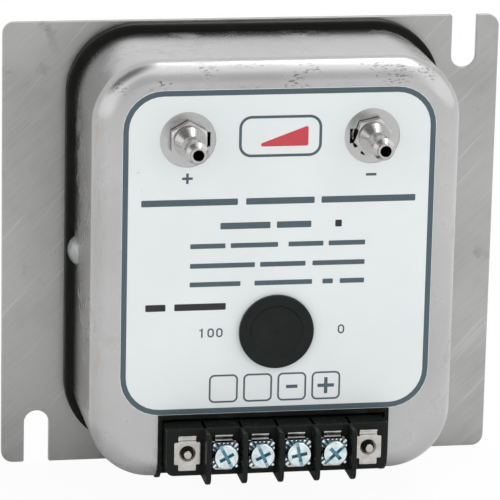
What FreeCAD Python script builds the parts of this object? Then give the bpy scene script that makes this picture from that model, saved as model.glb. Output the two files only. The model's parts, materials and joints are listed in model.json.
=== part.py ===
"""Wall-mounted differential pressure transmitter: every piece as its own solid.

Millimetres. X runs right, Z up, and the front of the instrument faces -Y. The origin is the
centre of the mounting plate's back face. A depth is a distance in front of that face, so a
point at depth d has y = -d.
"""

import FreeCAD
import Part

import math
import os

V = FreeCAD.Vector
FRONT = V(0, -1, 0)

overcut = 1.0  # how far a cutting shape runs past the faces that it cuts
tolerance = 1e-4

# ---------------------------------------------------------------- driving dimensions

# mounting plate, with one open-ended screw slot at two opposite corners
plate_width = 139.7
plate_height = 127.0
plate_thickness = 1.6
plate_corner = 3.3
slot_width = 7.0
slot_reach = 15.1  # from the plate's edge to the slot's round end
slot_inset = 9.9  # from the plate's side edge to the slot's centre line

# rubber gasket between the plate and the rim of the case
gasket_thickness = 4.3
gasket_lip = 2.2  # how far it stands out past the case
gasket_clearance = 0.2  # kept from the case's inside wall, where the brackets stand

# drawn steel case
case_width = 100.6
case_height = 116.8
case_depth = 38.55
case_rise = 2.5  # centre of the case above the centre of the plate
case_wall = 1.0
case_corner = 17.3
case_shoulder = 6.35  # radius from the walls into the face

# cut-out in the lower front edge of the case, and the channel edging around it
cutout_width = 64.0
cutout_height = 18.9  # from the bottom of the case
cutout_run = 8.5  # back along the bottom wall
edging_band = 1.1
edging_bite = 0.7  # how far the sheet enters the channel
edging_lip = 0.6  # thickness of the channel on each side of the sheet

# face label
label_thickness = 0.25
label_side_margin = 1.25  # bare steel between the label and the case's shoulder
label_top_margin = 0.85
label_corner = 11.0
label_port_hole = 15.2
label_edging_gap = 0.1

# pressure ports
port_spacing = 50.2
port_drop = 20.8  # below the top of the case
port_bore = 1.45
port_stem = 3.9
port_stem_clearance = 0.2
port_stem_end = 1.2  # stem showing past the nut
port_flats = 9.525
port_hex_height = 2.4
port_collar = 4.15
port_collar_height = 0.4
port_taper = 2.7
port_neck = 2.35
port_crest = 3.05
port_crest_land = 0.35
port_first_crest = 6.0  # from the front of the hexagon
port_crest_pitch = 3.3
port_crest_count = 3
port_crest_cone = 2.3
port_nose = 2.1
port_nose_length = 2.4  # past the last crest
port_nose_edge = 0.3
port_spigot = 2.0
port_spigot_length = 8.0
port_nut_flats = 10.0
port_nut_height = 3.0
port_nut_clearance = 0.05
port_seal_radius = 4.6
port_seal_thickness = 0.5
port_seal_tab = 1.0
port_seal_reach = 5.7
key_slot_height = 4.0
key_slot_reach = 6.1
high_hex_turn = 30.0  # degrees, to the first corner of the hexagon
low_hex_turn = 11.5
high_seal_tabs = (-17.0, 17.0)  # degrees, counted towards the key slot
low_seal_tabs = (-29.0, -63.0)

# snap-in plug over the adjusters
plug_height = 42.0  # above the bottom of the case
plug_radius = 10.3
plug_head = 1.5
plug_dish_radius = 7.5
plug_dish = 0.45
plug_dimple = 0.8
plug_edge = 0.6
plug_skirt = 7.85
plug_skirt_wall = 1.25
plug_skirt_length = 4.5
plug_hole_clearance = 0.1
plug_label_clearance = 0.25

# barrier strip
pitch = 10.0
positions = 6
strip_height = 13.3
strip_rise = 10.25  # middle of the strip above the bottom of the case
strip_clearance = 0.3
strip_projection = 6.75  # past the face of the case
strip_depth = 18.2
strip_corner = 2.0
barrier_thickness = 1.4
barrier_reach = 6.7
barrier_drop = 1.1
barrier_toe = 2.5
barrier_crown = 1.5

# terminal clips
clip_thickness = 0.8
clip_width = 7.3
clip_body = 6.4
clip_height = 9.9
clip_tab = 5.0
clip_groove = 0.9
clip_groove_depth = 0.5
clip_groove_edge = 0.5
clip_countersink = 0.35
clip_collar_wall = 1.1
clip_collar_length = 3.0
clip_collar_clearance = 0.05

# clamp plates and their screws
screw_shank = 1.7
screw_clearance = 0.05
screw_length = 9.5
screw_head = 3.45
screw_head_height = 2.0
screw_head_edge = 0.5
screw_slot = 0.9
screw_slot_depth = 0.8
screw_cross = 1.0
screw_cross_span = 4.3
screw_cross_depth = 1.2
screw_pitch = 0.794
screw_turns = 2.25
screw_tip = 0.5
screw_bottom_gap = 0.6
screw_angles = (118.0, 115.0, 102.0, 42.0)  # degrees, the slot's direction on each head
clamp_side = 7.2
clamp_thickness = 0.9
clamp_closed_gap = 0.05
clamp_corner = 0.7
clamp_teeth = 20
clamp_tooth_width = 0.55
clamp_tooth_depth = 0.4

# pins that hold the strip at its two end positions
pin_radius = 1.15
pin_height = 1.5  # in front of the clip

# circuit board, its posts and screws
board_screw_gap = 3.9  # from the end of the strip to the line of the screws
board_height = 74.0
board_thickness = 1.6
board_corner = 3.0
board_rise = 0.3  # bottom edge above the bottom of the strip
board_hole_inset = 3.5
post_radius = 2.75
board_screw = 1.25
board_screw_length = 7.0
board_screw_head = 2.6
board_screw_head_height = 1.9

# span and zero adjusters
trimmer_side = 6.35
trimmer_height = 5.5
trimmer_spacing = 7.8
rotor_radius = 1.6
rotor_clearance = 0.05
rotor_seat = 0.8
rotor_height = 1.1
rotor_slot = 0.5
rotor_slot_depth = 0.5

# pressure sensor capsule
sensor_radius = 27.0
sensor_height = 4.0  # above the centre of the plate
sensor_boss_radius = 8.0
sensor_boss_height = 6.4
cover_thickness = 7.9
cover_chamfer = 1.2
cavity_radius = 19.0
cavity_depth = 4.6
diaphragm_thickness = 0.2
electrode_radius = 16.0
electrode_thickness = 1.2
electrode_gap = 0.5
electrode_pin = 0.6
electrode_pin_end = 0.6  # past the circuit board
bushing_radius = 2.5
sensor_screw = 1.25
sensor_screw_circle = 23.0
sensor_screw_count = 6
sensor_screw_head = 2.2
sensor_screw_head_height = 1.5
spigot_bore = 0.8
spigot_length = 9.0

# rubber tubes from the ports to the capsule
tube_wall = 1.2
tube_clearance = 0.05
tube_bend = 7.0
tube_end_gap = 0.5

# side brackets and the dome-headed rivets that hold the case to them
bracket_thickness = 1.5
bracket_width = 16.0
bracket_foot = 12.0
bracket_height = 15.4
bracket_bend = 1.5
rivet_height = 0.9  # above the centre of the plate
rivet_depth = 4.7  # in front of the rim of the case
rivet_head = 4.2
rivet_dome = 2.3
rivet_shank = 1.6
rivet_clearance = 0.1
rivet_tail = 2.5
rivet_tail_height = 1.2

# ---------------------------------------------------------------- places that follow

case_rim = plate_thickness + gasket_thickness
case_face = case_rim + case_depth
face_inside = case_face - case_wall
case_top = case_rise + case_height / 2
case_bottom = case_rise - case_height / 2
label_front = case_face + label_thickness
edging_top = case_bottom + cutout_height
label_bottom = edging_top + label_edging_gap
label_top = case_top - case_shoulder - label_top_margin
label_height = label_top - label_bottom
label_width = case_width - 2 * (case_shoulder + label_side_margin)

port_z = case_top - port_drop
port_hex_back = case_face + port_seal_thickness
port_hex_front = port_hex_back + port_hex_height
port_last_crest = port_hex_front + port_first_crest + (port_crest_count - 1) * port_crest_pitch
port_tip = port_last_crest + port_nose_length
port_nut_front = face_inside
port_stem_back = port_nut_front - port_nut_height - port_stem_end
port_back = port_stem_back - port_spigot_length

plug_z = case_bottom + plug_height
plug_hole = plug_skirt + plug_hole_clearance

strip_z = case_bottom + strip_rise
strip_half = cutout_width / 2 - edging_band - strip_clearance
strip_front = case_face + strip_projection
strip_back = strip_front - strip_depth
clip_front = strip_front + clip_thickness
clip_hole = screw_shank + screw_clearance
clamp_lift = screw_pitch * screw_turns
clamp_back = clip_front + clamp_closed_gap + clamp_lift
clamp_front = clamp_back + clamp_thickness
position_x = [pitch * (n - (positions - 1) / 2) for n in range(positions)]
screw_x = position_x[1:-1]
end_x = (position_x[0], position_x[-1])
barrier_x = [(left + right) / 2 for left, right in zip(position_x, position_x[1:])]

board_front = strip_back
board_back = board_front - board_thickness
board_bottom = strip_z - strip_height / 2 + board_rise
board_z = board_bottom + board_height / 2
board_width = 2 * (strip_half + board_screw_gap + board_hole_inset)
board_holes = [
    (sx * (board_width / 2 - board_hole_inset), board_z + sz * (board_height / 2 - board_hole_inset))
    for sx in (-1, 1)
    for sz in (-1, 1)
]
trimmer_front = board_front + trimmer_height

rear_cover_back = plate_thickness + sensor_boss_height
diaphragm_back = rear_cover_back + cover_thickness
diaphragm_front = diaphragm_back + diaphragm_thickness
front_cover_front = diaphragm_front + cover_thickness
rear_middle = rear_cover_back + cover_thickness / 2
front_middle = diaphragm_front + cover_thickness / 2
sensor_screw_places = [
    (
        sensor_screw_circle * math.cos(math.radians(angle)),
        sensor_height + sensor_screw_circle * math.sin(math.radians(angle)),
    )
    for angle in [30 + 360 / sensor_screw_count * n for n in range(sensor_screw_count)]
]

through = (face_inside - overcut, label_front + overcut)  # depths of a cut through face and label
wall_inside = case_width / 2 - case_wall
rivet_place = case_rim + rivet_depth


# ---------------------------------------------------------------- shapes


def at(x, depth, z):
    """The point at this depth in front of the wall."""
    return V(x, -depth, z)


def face_of(points):
    return Part.Face(Part.makePolygon(points + points[:1]))


def box(x0, x1, depth0, depth1, z0, z1):
    return Part.makeBox(x1 - x0, depth1 - depth0, z1 - z0, V(x0, -depth1, z0))


def rod(x, z, radius, depth0, depth1):
    """A cylinder that stands out from the wall."""
    return Part.makeCylinder(radius, depth1 - depth0, at(x, depth0, z), FRONT)


def turned(x, z, profile):
    """A solid of revolution about the line through x, z; the profile is (depth, radius) points."""
    outline = face_of([at(x + radius, depth, z) for depth, radius in profile])
    return outline.revolve(at(x, 0, z), V(0, 1, 0), 360)


def rounded_slab(width, height, corner, x, z, depth0, depth1):
    """A plate parallel to the wall with round corners."""
    half_w, half_h = width / 2, height / 2
    block = box(x - half_w, x + half_w, depth0, depth1, z - half_h, z + half_h)
    upright = [edge for edge in block.Edges if edge.BoundBox.YLength > tolerance]
    return block.makeFillet(corner, upright)


def edges_at(shape, depth):
    """The edges that lie at one depth."""
    return [
        edge
        for edge in shape.Edges
        if abs(edge.BoundBox.YMin + depth) < tolerance and abs(edge.BoundBox.YMax + depth) < tolerance
    ]


def can(grow, depth0=None):
    """The case as a solid block, grown (or shrunk) by one amount all over."""
    block = rounded_slab(
        case_width + 2 * grow,
        case_height + 2 * grow,
        case_corner + grow,
        0,
        case_rise,
        case_rim if depth0 is None else depth0,
        case_face + grow,
    )
    return block.makeFillet(case_shoulder + grow, edges_at(block, case_face + grow))


def hexagon(x, z, flats, turn, depth0, depth1):
    """A hexagonal prism, chamfered at its front corners."""
    corner = flats / math.sqrt(3)
    angles = [math.radians(turn + 60 * n) for n in range(6)]
    outline = face_of(
        [at(x + corner * math.cos(a), depth0, z + corner * math.sin(a)) for a in angles]
    )
    chamfer = (corner - flats / 2) * math.tan(math.radians(30))
    envelope = turned(
        x, z, [(depth0, 0), (depth0, corner), (depth1 - chamfer, corner), (depth1, flats / 2), (depth1, 0)]
    )
    return outline.extrude(FRONT * (depth1 - depth0)).common(envelope)


def spun(shape, x, z, degrees):
    """Turned about the line through x, z, anticlockwise as seen from the front."""
    return shape.rotated(at(x, 0, z), V(0, -1, 0), degrees)


def pan_screw(x, z, seat, shank, length, head, head_height):
    """A plain pan-head screw that goes in towards the wall."""
    edge = head_height / 3
    return turned(
        x,
        z,
        [
            (seat - length, 0),
            (seat - length, shank),
            (seat, shank),
            (seat, head),
            (seat + head_height - edge, head),
            (seat + head_height, head - edge),
            (seat + head_height, 0),
        ],
    )


# ---------------------------------------------------------------- plate, gasket and case


def mounting_plate():
    plate = rounded_slab(plate_width, plate_height, plate_corner, 0, 0, 0, plate_thickness)
    radius = slot_width / 2
    for side in (-1, 1):
        x = side * (plate_width / 2 - slot_inset)
        end_z = side * (plate_height / 2 - slot_reach + radius)
        edge_z = side * (plate_height / 2 + radius)
        plate = plate.cut(rod(x, end_z, radius, -overcut, plate_thickness + overcut))
        low, high = sorted((end_z, edge_z))
        plate = plate.cut(box(x - radius, x + radius, -overcut, plate_thickness + overcut, low, high))
    return plate


def base_gasket():
    def ring(grow):
        return rounded_slab(
            case_width + 2 * grow,
            case_height + 2 * grow,
            case_corner + grow,
            0,
            case_rise,
            plate_thickness,
            case_rim,
        )

    return ring(gasket_lip).cut(ring(gasket_clearance - case_wall))


def cutout(inset):
    """The space of the cut-out, drawn in from the outside of its edging."""
    half = cutout_width / 2 - inset
    return box(
        -half,
        half,
        case_face - cutout_run - edging_band + inset,
        case_face + case_shoulder,
        case_bottom - case_shoulder,
        edging_top - inset,
    )


def key_slot(side, depth0, depth1):
    """The notch beside a port, on the side towards the middle of the face."""
    x = side * port_spacing / 2
    near, far = sorted((x, x - side * key_slot_reach))
    half = key_slot_height / 2
    return box(near, far, depth0, depth1, port_z - half, port_z + half)


def case_sheet():
    sheet = can(0).cut(can(-case_wall, case_rim - overcut))
    sheet = sheet.cut(cutout(edging_band - edging_bite))
    sheet = sheet.cut(rod(0, plug_z, plug_hole, *through))
    for side in (-1, 1):
        x = side * port_spacing / 2
        hole = rod(x, port_z, port_stem + port_stem_clearance, *through)
        sheet = sheet.cut(hole).cut(key_slot(side, *through))
        start = V(side * (wall_inside - overcut), -rivet_place, rivet_height)
        length = case_wall + 2 * overcut
        drill = Part.makeCylinder(rivet_shank + rivet_clearance, length, start, V(side, 0, 0))
        sheet = sheet.cut(drill)
    return sheet


def cutout_edging(sheet):
    skin = can(edging_lip).cut(can(-case_wall - edging_lip, case_rim - overcut))
    return skin.common(cutout(0).cut(cutout(edging_band))).cut(sheet)


def face_label():
    z = label_bottom + label_height / 2
    label = rounded_slab(label_width, label_height, label_corner, 0, z, case_face, label_front)
    label = label.cut(rod(0, plug_z, plug_hole + plug_label_clearance, *through))
    for side in (-1, 1):
        x = side * port_spacing / 2
        label = label.cut(rod(x, port_z, label_port_hole / 2, *through))
    return label


def case_bracket(side):
    """A folded angle: the foot is welded to the plate, the upright stands against the case wall."""
    z = rivet_height - bracket_width / 2

    def spot(inwards, depth):
        return at(side * (wall_inside - inwards), depth, z)

    def bend(radius):
        reach = radius * math.sqrt(0.5)
        centre = bracket_thickness + bracket_bend
        depth = plate_thickness + centre
        return (
            spot(centre, depth - radius),
            spot(centre - reach, depth - reach),
            spot(centre - radius, depth),
        )

    outside = bend(bracket_bend + bracket_thickness)
    inside = bend(bracket_bend)
    toe_back = spot(bracket_foot, plate_thickness)
    toe_front = spot(bracket_foot, plate_thickness + bracket_thickness)
    tip_outside = spot(0, plate_thickness + bracket_height)
    tip_inside = spot(bracket_thickness, plate_thickness + bracket_height)
    outline = Part.Wire(
        [
            Part.makeLine(toe_back, outside[0]),
            Part.Arc(*outside).toShape(),
            Part.makeLine(outside[2], tip_outside),
            Part.makeLine(tip_outside, tip_inside),
            Part.makeLine(tip_inside, inside[2]),
            Part.Arc(*reversed(inside)).toShape(),
            Part.makeLine(inside[0], toe_front),
            Part.makeLine(toe_front, toe_back),
        ]
    )
    angle = Part.Face(outline).extrude(V(0, 0, bracket_width))
    length = bracket_thickness + 2 * overcut
    start = V(side * (wall_inside - bracket_thickness - overcut), -rivet_place, rivet_height)
    return angle.cut(
        Part.makeCylinder(rivet_shank + rivet_clearance, length, start, V(side, 0, 0))
    )


def case_rivet(side):
    """Dome head outside the case wall, tail upset behind the bracket."""
    seat = case_width / 2
    back = wall_inside - bracket_thickness
    crown = seat + rivet_dome
    bulge = (rivet_head**2 + rivet_dome**2) / (2 * rivet_dome)
    middle = crown - bulge
    rim_angle = math.asin(rivet_head / bulge)
    on_dome = [
        V(side * (middle + bulge * math.cos(a)), -rivet_place, rivet_height + bulge * math.sin(a))
        for a in (rim_angle, rim_angle / 2, 0)
    ]

    def spot(x, radius):
        return V(side * x, -rivet_place, rivet_height + radius)

    corners = [
        spot(crown, 0),
        spot(back - rivet_tail_height, 0),
        spot(back - rivet_tail_height, rivet_tail),
        spot(back, rivet_tail),
        spot(back, rivet_shank),
        spot(seat, rivet_shank),
        spot(seat, rivet_head),
    ]
    outline = Part.Wire([*Part.makePolygon(corners).Edges, Part.Arc(*on_dome).toShape()])
    return Part.Face(outline).revolve(spot(0, 0), V(1, 0, 0), 360)


# ---------------------------------------------------------------- ports and plug


def port_barb(side, turn):
    """Hexagon with a tapered collar, three barbs and a nose outside; stem and spigot inside."""
    x = side * port_spacing / 2
    collar_front = port_hex_front + port_collar_height
    profile = [
        (port_back, 0),
        (port_back, port_spigot),
        (port_stem_back, port_spigot),
        (port_stem_back, port_stem),
        (port_hex_back, port_stem),
        (port_hex_front, port_stem),
        (port_hex_front, port_collar),
        (collar_front, port_collar),
        (collar_front + port_taper, port_neck),
    ]
    for n in range(port_crest_count):
        crest = port_hex_front + port_first_crest + n * port_crest_pitch
        profile += [
            (crest - port_crest_land, port_neck),
            (crest - port_crest_land, port_crest),
            (crest, port_crest),
        ]
        if n < port_crest_count - 1:
            profile.append((crest + port_crest_cone, port_neck))
    profile += [
        (port_last_crest + port_crest_cone / 2, port_nose),
        (port_tip - port_nose_edge, port_nose),
        (port_tip, port_nose - port_nose_edge),
        (port_tip, 0),
    ]
    body = turned(x, port_z, profile)
    body = body.fuse(hexagon(x, port_z, port_flats, turn, port_hex_back, port_hex_front))
    return body.cut(rod(x, port_z, port_bore, port_back - overcut, port_tip + overcut)).removeSplitter()


def port_seal(side, tabs):
    """Flat washer under the hexagon, with two locating tabs."""
    x = side * port_spacing / 2
    disc = rod(x, port_z, port_seal_radius, case_face, port_hex_back)
    half = port_seal_tab / 2
    for angle in tabs:
        tab = box(x, x + port_seal_reach, case_face, port_hex_back, port_z - half, port_z + half)
        heading = angle if side < 0 else 180 - angle
        disc = disc.fuse(spun(tab, x, port_z, heading))
    hole = rod(x, port_z, port_stem + port_stem_clearance, case_face - overcut, port_hex_back + overcut)
    return disc.cut(hole).removeSplitter()


def port_nut(side):
    x = side * port_spacing / 2
    back = port_nut_front - port_nut_height
    nut = hexagon(x, port_z, port_nut_flats, 0, back, port_nut_front)
    bore = port_stem + port_nut_clearance
    return nut.cut(rod(x, port_z, bore, back - overcut, port_nut_front + overcut))


def adjustment_plug():
    """Dished head on the label, hollow skirt in the hole of the case."""
    head_front = label_front + plug_head
    skirt_back = label_front - plug_skirt_length
    dish = head_front - plug_dish
    plug = turned(
        0,
        plug_z,
        [
            (label_front, 0),
            (label_front, plug_skirt - plug_skirt_wall),
            (skirt_back, plug_skirt - plug_skirt_wall),
            (skirt_back, plug_skirt),
            (label_front, plug_skirt),
            (label_front, plug_radius),
            (head_front - plug_edge, plug_radius),
            (head_front, plug_radius - plug_edge),
            (head_front, plug_dish_radius),
            (dish, plug_dish_radius - plug_dish),
            (dish, 0),
        ],
    )
    return plug.cut(Part.makeSphere(plug_dimple, at(0, dish + plug_dimple / 2, plug_z)))


# ---------------------------------------------------------------- barrier strip


def barrier(x):
    """A rib across the strip that stands out past the screws, with a rounded toe and crown."""
    top = strip_z + strip_height / 2
    bottom = strip_z - strip_height / 2 - barrier_drop
    tip = strip_front + barrier_reach
    half = barrier_thickness / 2
    root = case_face
    rib = box(x - half, x + half, root, tip, bottom, top)
    for z, radius in ((bottom, barrier_toe), (top, barrier_crown)):
        corner = [
            edge
            for edge in edges_at(rib, tip)
            if abs(edge.BoundBox.ZMin - z) < tolerance and abs(edge.BoundBox.ZMax - z) < tolerance
        ]
        rib = rib.makeFillet(radius, corner)
    return rib


def terminal_block():
    """Moulded strip: a bar through the cut-out, five barriers, and seats for the six clips."""
    bar = rounded_slab(
        2 * strip_half, strip_height, strip_corner, 0, strip_z, strip_back, strip_front
    )
    shelf = strip_z + strip_height / 2
    square = box(-strip_half, strip_half, strip_back, strip_front, strip_z, shelf)
    block = bar.fuse(square)
    for x in barrier_x:
        block = block.fuse(barrier(x))
    block = block.removeSplitter()
    seat = clip_hole + clip_collar_wall + clip_collar_clearance
    seat_back = strip_front - clip_collar_length - clip_collar_clearance
    for x in position_x:
        block = block.cut(rod(x, strip_z, seat, seat_back, strip_front + overcut))
    deepest = clamp_front - screw_length - clamp_lift - screw_bottom_gap
    for x in screw_x:
        block = block.cut(rod(x, strip_z, clip_hole, deepest, seat_back + overcut))
    for x in end_x:
        block = block.cut(rod(x, strip_z, pin_radius, strip_back - overcut, seat_back + overcut))
    return block


def terminal_clip(x):
    """Sheet clip with a tab above and below and a tapped collar behind its hole."""
    half_w, half_h, half_tab = clip_width / 2, clip_body / 2, clip_tab / 2
    top = strip_z + clip_height / 2
    clip = box(x - half_w, x + half_w, strip_front, clip_front, strip_z - half_h, strip_z + half_h)
    tab = box(x - half_tab, x + half_tab, strip_front, clip_front, strip_z - clip_height / 2, top)
    groove_top = top - clip_groove_edge
    groove = box(
        x - half_tab,
        x + half_tab,
        clip_front - clip_groove_depth,
        clip_front + overcut,
        groove_top - clip_groove,
        groove_top,
    )
    clip = clip.fuse(tab).cut(groove).removeSplitter()
    collar_back = strip_front - clip_collar_length
    clip = clip.fuse(rod(x, strip_z, clip_hole + clip_collar_wall, collar_back, strip_front))
    hole = turned(
        x,
        strip_z,
        [
            (collar_back - overcut, 0),
            (collar_back - overcut, clip_hole),
            (clip_front - clip_countersink, clip_hole),
            (clip_front, clip_hole + clip_countersink),
            (clip_front + overcut, clip_hole + clip_countersink),
            (clip_front + overcut, 0),
        ],
    )
    return clip.cut(hole)


def clamp_plate(x):
    """Square washer under a terminal screw, its face cut with radial teeth."""
    plate = rounded_slab(clamp_side, clamp_side, clamp_corner, x, strip_z, clamp_back, clamp_front)
    half = clamp_tooth_width / 2
    tooth = box(
        x + screw_head,
        x + clamp_side,
        clamp_front - clamp_tooth_depth,
        clamp_front + overcut,
        strip_z - half,
        strip_z + half,
    )
    for n in range(clamp_teeth):
        plate = plate.cut(spun(tooth, x, strip_z, 360 / clamp_teeth * (n + 0.5)))
    return plate.cut(rod(x, strip_z, clip_hole, clamp_back - overcut, clamp_front + overcut))


def terminal_screw(x, angle):
    """Combination head: a slot right across and a short cross recess."""
    head_front = clamp_front + screw_head_height
    tip = clamp_front - screw_length
    screw = turned(
        x,
        strip_z,
        [
            (tip, 0),
            (tip, screw_shank - screw_tip),
            (tip + screw_tip, screw_shank),
            (clamp_front, screw_shank),
            (clamp_front, screw_head),
            (head_front - screw_head_edge, screw_head),
            (head_front, screw_head - screw_head_edge),
            (head_front, 0),
        ],
    )
    slot = box(
        x - screw_head - overcut,
        x + screw_head + overcut,
        head_front - screw_slot_depth,
        head_front + overcut,
        strip_z - screw_slot / 2,
        strip_z + screw_slot / 2,
    )
    cross = box(
        x - screw_cross_span / 2,
        x + screw_cross_span / 2,
        head_front - screw_cross_depth,
        head_front + overcut,
        strip_z - screw_cross / 2,
        strip_z + screw_cross / 2,
    )
    recess = slot.fuse(cross).fuse(spun(cross, x, strip_z, 90))
    return screw.cut(spun(recess, x, strip_z, angle))


def strip_pins():
    """Two round-ended pins that run through the end positions into the board."""
    pins = []
    for x in end_x:
        tip = clip_front + pin_height
        pin = turned(
            x,
            strip_z,
            [
                (board_back, 0),
                (board_back, pin_radius),
                (tip - pin_radius / 3, pin_radius),
                (tip, pin_radius * 2 / 3),
                (tip, 0),
            ],
        )
        pins.append(pin)
    return Part.makeCompound(pins)


# ---------------------------------------------------------------- circuit board and adjusters


def circuit_board():
    board = rounded_slab(
        board_width, board_height, board_corner, 0, board_z, board_back, board_front
    )
    holes = [(x, z, board_screw) for x, z in board_holes]
    holes += [(x, strip_z, pin_radius) for x in end_x]
    holes.append((0, sensor_height, electrode_pin))
    for x, z, radius in holes:
        board = board.cut(rod(x, z, radius, board_back - overcut, board_front + overcut))
    return board


def board_posts():
    posts = []
    for x, z in board_holes:
        post = rod(x, z, post_radius, plate_thickness, board_back)
        tapped = board_back - board_screw_length
        posts.append(post.cut(rod(x, z, board_screw, tapped, board_back + overcut)))
    return Part.makeCompound(posts)


def board_screws():
    return Part.makeCompound(
        [
            pan_screw(
                x,
                z,
                board_front,
                board_screw,
                board_screw_length,
                board_screw_head,
                board_screw_head_height,
            )
            for x, z in board_holes
        ]
    )


def trimmer(side):
    x = side * trimmer_spacing / 2
    half = trimmer_side / 2
    body = box(x - half, x + half, board_front, trimmer_front, plug_z - half, plug_z + half)
    well = rotor_radius + rotor_clearance
    return body.cut(rod(x, plug_z, well, trimmer_front - rotor_seat, trimmer_front + overcut))


def trimmer_rotor(side):
    x = side * trimmer_spacing / 2
    back = trimmer_front - rotor_seat
    front = back + rotor_height
    rotor = rod(x, plug_z, rotor_radius, back, front)
    slot = box(
        x - rotor_radius - overcut,
        x + rotor_radius + overcut,
        front - rotor_slot_depth,
        front + overcut,
        plug_z - rotor_slot / 2,
        plug_z + rotor_slot / 2,
    )
    return rotor.cut(slot)


# ---------------------------------------------------------------- sensor capsule and tubes


def toward_port(side):
    """The direction from the capsule's middle to a port, parallel to the wall."""
    way = V(side * port_spacing / 2, 0, port_z - sensor_height)
    return way.normalize()


def with_spigot(cover, side, depth):
    """Adds a tube spigot that points at one port, and drills it through to the cavity."""
    way = toward_port(side)
    root = at(0, depth, sensor_height) + way * (sensor_radius - cover_chamfer)
    pipe = Part.makeCylinder(port_spigot, cover_chamfer + spigot_length, root, way)
    start = at(0, depth, sensor_height) + way * (cavity_radius - overcut)
    reach = sensor_radius + spigot_length - cavity_radius + 2 * overcut
    return cover.fuse(pipe).cut(Part.makeCylinder(spigot_bore, reach, start, way))


def without_screw_holes(shape, depth0, depth1):
    for x, z in sensor_screw_places:
        shape = shape.cut(rod(x, z, sensor_screw, depth0 - overcut, depth1 + overcut))
    return shape


def sensor_rear_cover():
    cover = turned(
        0,
        sensor_height,
        [
            (plate_thickness, 0),
            (plate_thickness, sensor_boss_radius),
            (rear_cover_back, sensor_boss_radius),
            (rear_cover_back, sensor_radius - cover_chamfer),
            (rear_cover_back + cover_chamfer, sensor_radius),
            (diaphragm_back, sensor_radius),
            (diaphragm_back, cavity_radius),
            (diaphragm_back - cavity_depth, cavity_radius),
            (diaphragm_back - cavity_depth, 0),
        ],
    )
    cover = without_screw_holes(cover, rear_cover_back, diaphragm_back)
    return with_spigot(cover, 1, rear_middle)


def sensor_front_cover():
    cavity_front = diaphragm_front + cavity_depth
    cover = turned(
        0,
        sensor_height,
        [
            (cavity_front, bushing_radius),
            (cavity_front, cavity_radius),
            (diaphragm_front, cavity_radius),
            (diaphragm_front, sensor_radius),
            (front_cover_front - cover_chamfer, sensor_radius),
            (front_cover_front, sensor_radius - cover_chamfer),
            (front_cover_front, bushing_radius),
        ],
    )
    cover = without_screw_holes(cover, diaphragm_front, front_cover_front)
    return with_spigot(cover, -1, front_middle)


def sensing_diaphragm():
    disc = rod(0, sensor_height, sensor_radius, diaphragm_back, diaphragm_front)
    return without_screw_holes(disc, diaphragm_back, diaphragm_front)


def electrode_bushing():
    front = front_cover_front
    bush = rod(0, sensor_height, bushing_radius, diaphragm_front + cavity_depth, front)
    return bush.cut(rod(0, sensor_height, electrode_pin, diaphragm_front, front + overcut))


def electrode():
    back = diaphragm_front + electrode_gap
    disc_front = back + electrode_thickness
    tip = board_front + electrode_pin_end
    return turned(
        0,
        sensor_height,
        [
            (back, 0),
            (back, electrode_radius),
            (disc_front, electrode_radius),
            (disc_front, bushing_radius),
            (diaphragm_front + cavity_depth, bushing_radius),
            (diaphragm_front + cavity_depth, electrode_pin),
            (tip, electrode_pin),
            (tip, 0),
        ],
    )


def sensor_screws():
    length = 2 * cover_thickness + diaphragm_thickness
    return Part.makeCompound(
        [
            pan_screw(
                x,
                z,
                front_cover_front,
                sensor_screw,
                length,
                sensor_screw_head,
                sensor_screw_head_height,
            )
            for x, z in sensor_screw_places
        ]
    )


def pressure_tube(side, depth):
    """Rubber tube pushed over a port's spigot, bent once, and over a spigot of the capsule."""
    port = at(side * port_spacing / 2, port_stem_back - tube_end_gap, port_z)
    elbow = at(side * port_spacing / 2, depth, port_z)
    way = toward_port(side) * -1
    end = at(0, depth, sensor_height) - way * (sensor_radius + tube_end_gap)
    before, after = elbow + FRONT * tube_bend, elbow + way * tube_bend
    centre = before + way * tube_bend
    middle = centre + (elbow - centre).normalize() * tube_bend
    path = Part.Wire(
        [
            Part.makeLine(port, before),
            Part.Arc(before, middle, after).toShape(),
            Part.makeLine(after, end),
        ]
    )

    def swept(radius):
        ring = Part.Wire([Part.makeCircle(radius, port, FRONT)])
        return path.makePipeShell([ring], True, False)

    bore = port_spigot + tube_clearance
    return swept(bore + tube_wall).cut(swept(bore))


# ---------------------------------------------------------------- the whole instrument


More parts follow.
